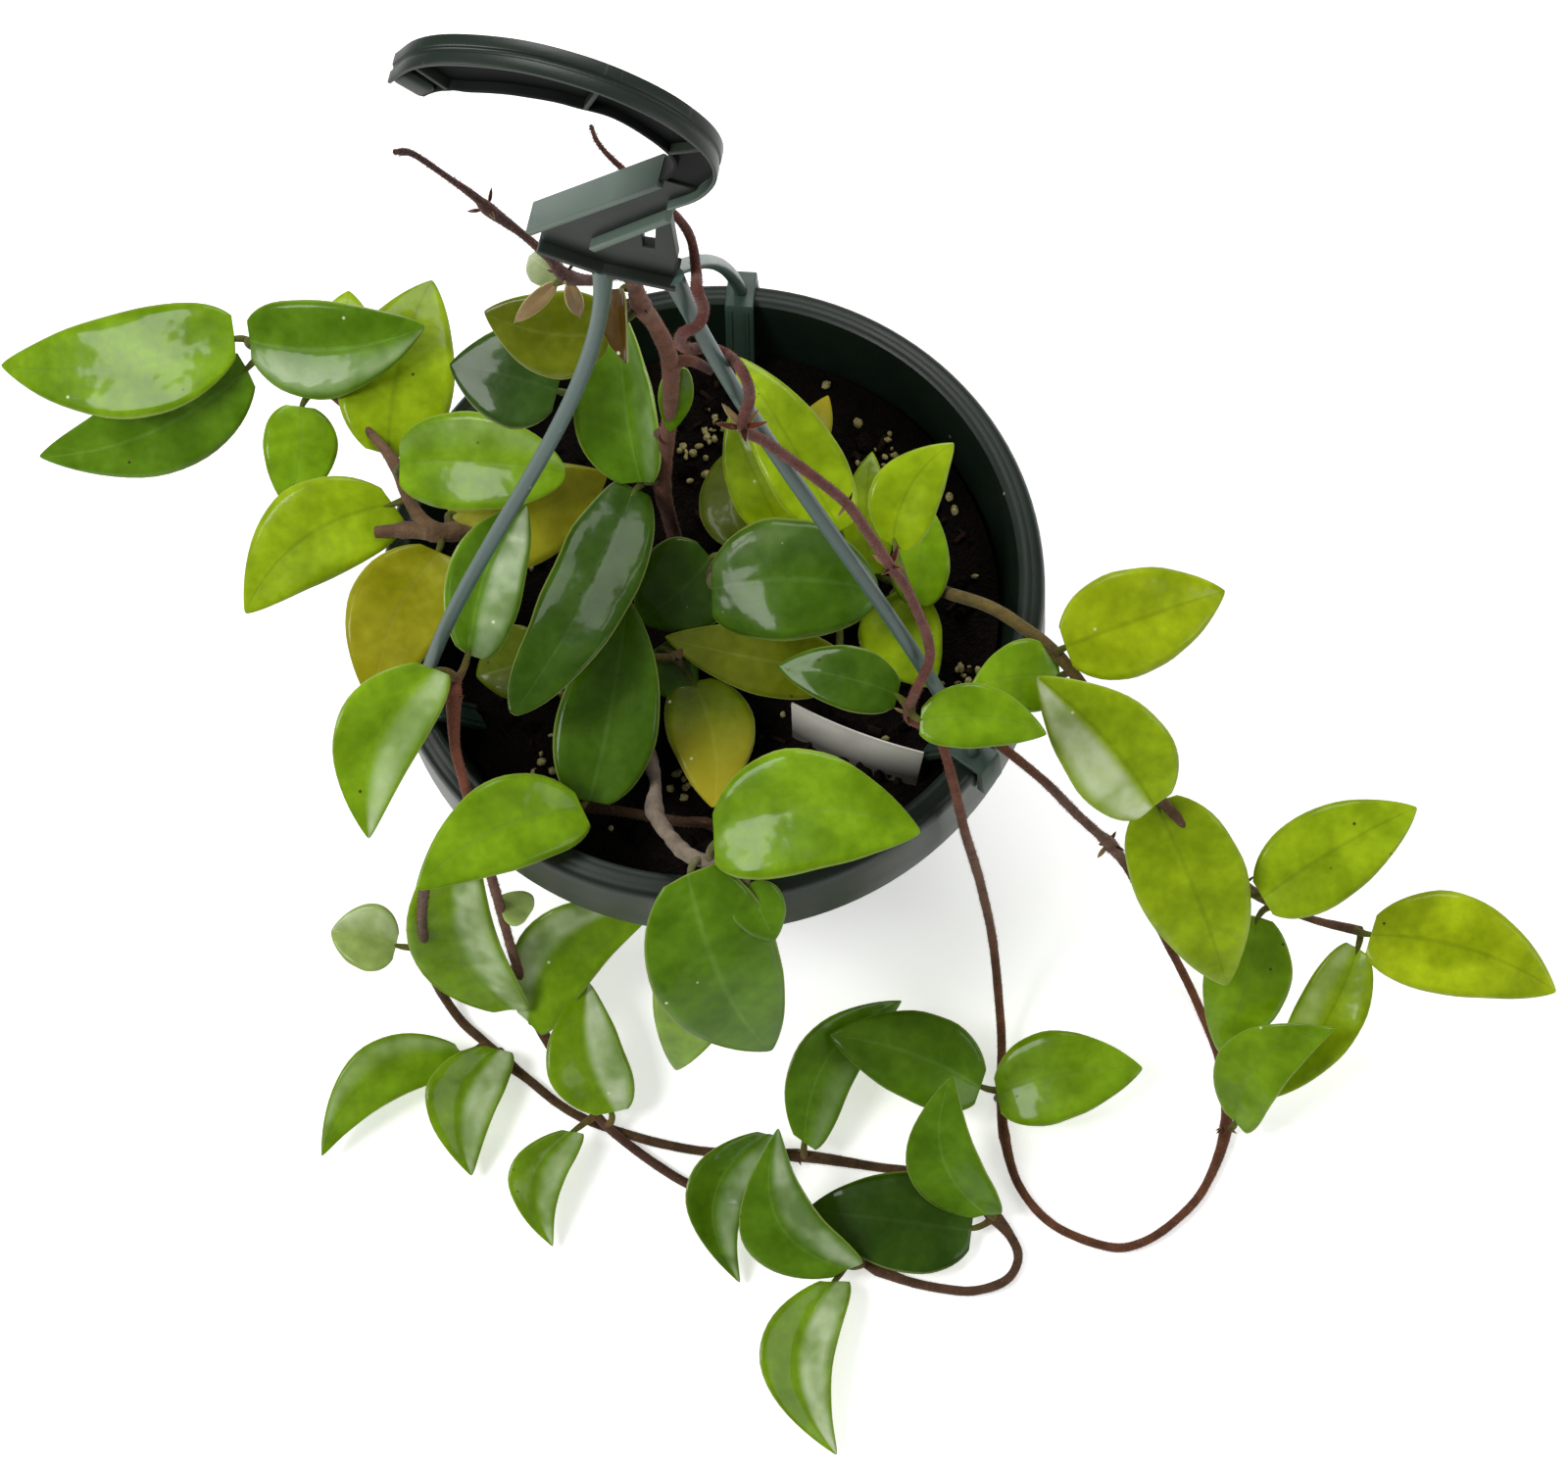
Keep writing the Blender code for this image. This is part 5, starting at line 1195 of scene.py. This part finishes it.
            (540, 836, 148), (478, 858, 154), (440, 890, 134), (431, 925, 94), (432, 955, 58),
            (438, 985, 30), (450, 1012, 10), (471, 1042, 3), (493, 1062, 3), (514, 1082, 3, 1.4),
            (541, 1103, 3), (568, 1125, 3), (595, 1141, 3), (630, 1154, 3), (675, 1167, 3), (730, 1176, 3),
            (814, 1179, 3, 1.3), (896, 1191, 3), (939, 1197, 3), (985, 1215, 3), (1014, 1241, 3, 1.5),
            (1032, 1263, 3), (1039, 1284, 3), (1027, 1306, 3), (995, 1317, 3), (962, 1315, 3),
            (925, 1307, 3), (896, 1295, 4, 1.4), (872, 1283, 4), (820, 1258, 3), (760, 1234, 3),
            (702, 1208, 3), (675, 1192, 3), (648, 1173, 4), (621, 1151, 7), (600, 1127, 8), (581, 1100, 6),
            (565, 1074, 5), (549, 1042, 10, 1.4), (527, 985, 36), (510, 925, 84), (500, 889, 118),
            (490, 849, 146), (480, 822, 156), (472, 793, 162), (464, 760, 167), (463, 712, 171, 1.5),
            (466, 694, 172),
        ],
        "leaves": [
            leaf((447, 678, 184), (376, 856, 168), 26, -6, 0.3, 0.05, -0.17, "fresh", -0.6),
            leaf((478, 674, 168), (537, 516, 162), 25, 14, 0.4, 0.05, 0.1, "mid", 0.8),
            leaf((599, 824, 138), (641, 610, 152), 31, 0, 0.15, 0.05, -0.02, "forest"),
            leaf((600, 826, 146), (424, 908, 158), 28, 0, 0.14, 0.06, -0.11, "fresh"),
            leaf((540, 1050, 16), (680, 920, 40), 28, 10, 0.25, 0.06, 0.2, "fresh", -0.8),
            leaf((528, 1034, 22), (488, 824, 90), 30, -12, 0.3, 0.05, 0.18, "fresh", 0.85),
            leaf((540, 934, 76), (510, 914, 84), 12, 0, 0.2, 0.05, 0, "pale"),
            leaf((478, 1076, 8), (328, 1180, 8), 21, -6, 0.2, 0.07, -0.21, "fresh", 0.4),
            leaf((512, 1068, 10), (481, 1200, 6), 25, -10, 0.32, 0.06, -0.23, "fresh", -0.8),
            leaf((628, 1138, 12), (600, 1002, 26), 27, 8, 0.22, 0.07, 0.15, "fresh", 0.9),
            leaf((588, 1152, 12), (564, 1272, 4), 19, -14, 0.35, 0.07, -0.29, "fresh", -0.6),
            leaf((406, 966, 46), (338, 950, 50), 22, 0, 0.3, 0.05, -0.04, "pale", 0.8, 0.4),
            leaf((820, 1172, 10), (920, 1021, 16), 23, 14, 0.3, 0.06, 0.19, "mid", 0.3),
            leaf((1012, 1242, 8), (972, 1096, 42), 25, -14, 0.3, 0.05, 0.18, "mid"),
            leaf((996, 1256, 6), (824, 1234, 10), 33, 0, 0.14, 0.07, 0.0, "dark"),
            leaf((872, 1296, 12), (794, 1151, 42), 27, -10, 0.3, 0.05, 0.25, "mid", 0.6),
            leaf((856, 1303, 8), (854, 1485, 4), 25, -10, 0.35, 0.07, -0.26, "fresh", -0.9),
            leaf((790, 1154, 14), (755, 1309, 4), 21, -12, 0.4, 0.07, -0.31, "mid", -0.5),
        ],
        "bracts": [((514, 1082, 5), 2, 3.0), ((814, 1179, 5), 3, 3.4), ((463, 712, 173), 2, 3.0)],
    },
    "front_woody_stem": {
        "radius": 2.2,
        "finish": CORKY,
        "lumps": 0.2,
        "tints": [(0, "#514537"), (0.5, "#74675a"), (1, "#857767")],
        "stem": [
            (660, 764, 115), (664, 778, 124, 1.1), (669, 800, 132, 0.9), (668, 828, 140, 1.2),
            (684, 854, 147, 1.0), (702, 872, 152, 1.1), (728, 881, 155, 0.9), (760, 890, 156, 1.1),
        ],
        "leaves": [
            leaf((700, 884, 160), (787, 1072, 92), 40, 0, 0.12, 0.08, -0.06, "mid"),
            leaf((738, 893, 151), (690, 1092, 68), 27, 0, 0.12, 0.06, 0.0, "fresh"),
            leaf((762, 900, 151), (790, 960, 138), 16, 0, 0.1, 0.06, 0, "mid"),
            leaf((723, 860, 162), (940, 849, 168), 37, 0, 0.16, 0.06, 0.13, "fresh"),
        ],
    },
}


def beside_strand(column, row, lift_mm):
    """A stop that shows at this column and row, nearer to the view than the right strand by lift_mm."""
    points = strand_route("right")
    points = [start.lerp(end, part / 4) for start, end in zip(points, points[1:]) for part in range(4)]
    place = min(points, key=lambda point: (shown_at(point) - Vector((column, row))).length)
    return (column, row, place.z / MM + lift_mm)


def stop_at(stop):
    """A stop as (point, size); its size is 1 when it states none."""
    return sight(*stop[:3]), stop[3] if len(stop) > 3 else 1


def stem_stops(plan):
    """A plan's main stem as (point, size) stops, with its root in the soil."""
    first, *others = plan["stem"]
    start = sight(*first[:3])
    stops = [(Vector((start.x, start.y, height)), 1) for height in (SOIL_TOP - ROOT_DEPTH, SOIL_TOP + 4 * MM)]
    if "climb" in plan:
        root_end, *climb = plan["climb"]
        others = others[:-1] + [root_end] + [beside_strand(*stop) for stop in climb]
    stops += [stop_at(stop) for stop in others]
    for (sideways, rise, back), size in zip(plan.get("hub_stops", []), plan.get("hub_sizes", [])):
        stops.append((hook_point(sideways, rise) + HOOK_ACROSS * back * MM, size))
    return stops


def stem_run(stops, lumps, seed):
    """A fine run along a stem, a little uneven, with a ring at each swollen joint."""
    run = []
    joints = [point for point, size in stops if size >= 1.15]
    for point, size in smooth_route(stops, 1.3 * MM):
        rough = 1 + lumps * noise.noise(point * 300 + Vector((seed, 0, 0))) + lumps * noise.noise(point * 110)
        ring = sum(0.16 * math.exp(-(((point - joint).length / (1.6 * MM)) ** 2)) for joint in joints)
        run.append((point, max(0.3, size * rough + ring)))
    return run


def make_stem_pieces(name, plan, number):
    """The leaves of a stem as one piece, and its wood, stalks, bracts and down as others."""
    radius = plan["radius"] * MM
    runs = [stem_run(stem_stops(plan), plan["lumps"], number)]
    for stops in plan.get("side_stems", []):
        runs.append(stem_run([stop_at(stop) for stop in stops], plan["lumps"], number + 5))
    wood = []
    for run in runs:
        wood.append(paint_run(tube("stem", run, radius, 14), run, 14, plan["tints"]))
    for plan_leaf in plan["leaves"]:
        wood.append(make_stalk(plan_leaf, runs, plan["tints"][-1][1]))
    stem = smooth(join(name + "_stems", wood), 60)
    fasten(stem, name, plan["finish"])
    blades = [make_blade(one, number * 40 + index * 1.7) for index, one in enumerate(plan["leaves"])]
    fasten(join(name + "_leaves", blades), name)
    rng = random.Random(100 + number)
    scales = make_scales(plan, runs[0], rng)
    if scales:
        fasten(join(name + "_bracts", scales), name)
    if plan["finish"] is DOWNY:
        hairy = [(run, radius) for run in runs]
        down = fuzz(name + "_down", hairy, 14, "#7a4c30", rng)
        fasten(down, name, DOWN)


def make_scales(plan, run, rng):
    """Rings of small bracts round the stem's joints."""
    scales = []
    strand_bracts = [(beside_strand(*spot), *sizes) for spot, *sizes in plan.get("strand_bracts", [])]
    for spot, count, length in plan.get("bracts", []) + strand_bracts:
        centre, along = nearest_on(run, sight(*spot))
        side = along.orthogonal().normalized()
        for index in range(count):
            turn = math.tau * index / count + rng.uniform(-0.4, 0.4)
            out = Matrix.Rotation(turn, 3, along) @ side
            if centre.z < 8 * MM:
                out.z = abs(out.z)
            size = length * rng.uniform(0.75, 1.15)
            tint = rng.choice(["red", "umber", "blush"])
            foot = centre + out * plan["radius"] * 0.7 * MM
            scale = scale_leaf(foot, out + along * rng.uniform(0.2, 0.9), size, size * 0.27, tint)
            scales.append(make_blade(scale, index + rng.random(), 6, 5, 0.5 * MM))
    return scales


# Floor, light and camera


# name, place, size and power of each lamp, and the point that they face
SOFT_BOXES = (
    ("key_soft_box", (-0.75, -0.15, 1.25), 0.5, 11),
    ("rear_soft_box", (0.35, 0.9, 1.3), 0.7, 10),
    ("right_soft_box", (1.2, -0.5, 0.9), 0.6, 4),
)
LIT_POINT = Vector((0, -0.05, 0.12))


def make_stage():
    """A white paper floor, an even white surround and soft boxes on both sides."""
    floor = fresh("paper_floor", bpy.ops.mesh.primitive_plane_add, size=8)
    floor.location.z = -0.2 * MM
    glow = {"Emission_Color": (1, 1, 1, 1), "Emission_Strength": 0.5}
    paper, _, _ = finish("white_backdrop_paper", Base_Color=srgb("#fbfbfa"), Roughness=0.9, **glow)
    floor.data.materials.append(paper)
    world = bpy.data.worlds.new("studio")
    world.use_nodes = True
    sky = world.node_tree.nodes["Background"]
    sky.inputs["Color"].default_value = (1, 1, 1, 1)
    sky.inputs["Strength"].default_value = 0.26
    bpy.context.scene.world = world
    for name, place, size, power in SOFT_BOXES:
        lamp = bpy.data.lights.new(name, "AREA")
        lamp.shape = "SQUARE"
        lamp.size = size
        lamp.energy = power
        made = bpy.data.objects.new(name, lamp)
        made.location = place
        made.rotation_euler = (Vector(place) - LIT_POINT).to_track_quat("Z", "Y").to_euler()
        bpy.context.scene.collection.objects.link(made)


def make_camera():
    """The camera at the photographed view, 1 m from the plant."""
    lens = bpy.data.cameras.new("photo_camera")
    lens.sensor_fit = "HORIZONTAL"
    lens.sensor_width = 36
    lens.lens = FRAME_FOCAL / FRAME[0] * lens.sensor_width
    lens.clip_start = 0.01
    lens.clip_end = 50
    made = bpy.data.objects.new("photo_camera", lens)
    made.matrix_world = axes_at(EYE, RIGHT, UP, BACK)
    bpy.context.scene.collection.objects.link(made)
    bpy.context.scene.camera = made


def main():
    make_pot()
    make_soil()
    make_card()
    make_hanger()
    for number, (name, plan) in enumerate(PLANT.items()):
        make_stem_pieces(name, plan, number)
    make_stage()
    make_camera()
    bpy.context.scene.view_settings.view_transform = "Standard"


main()
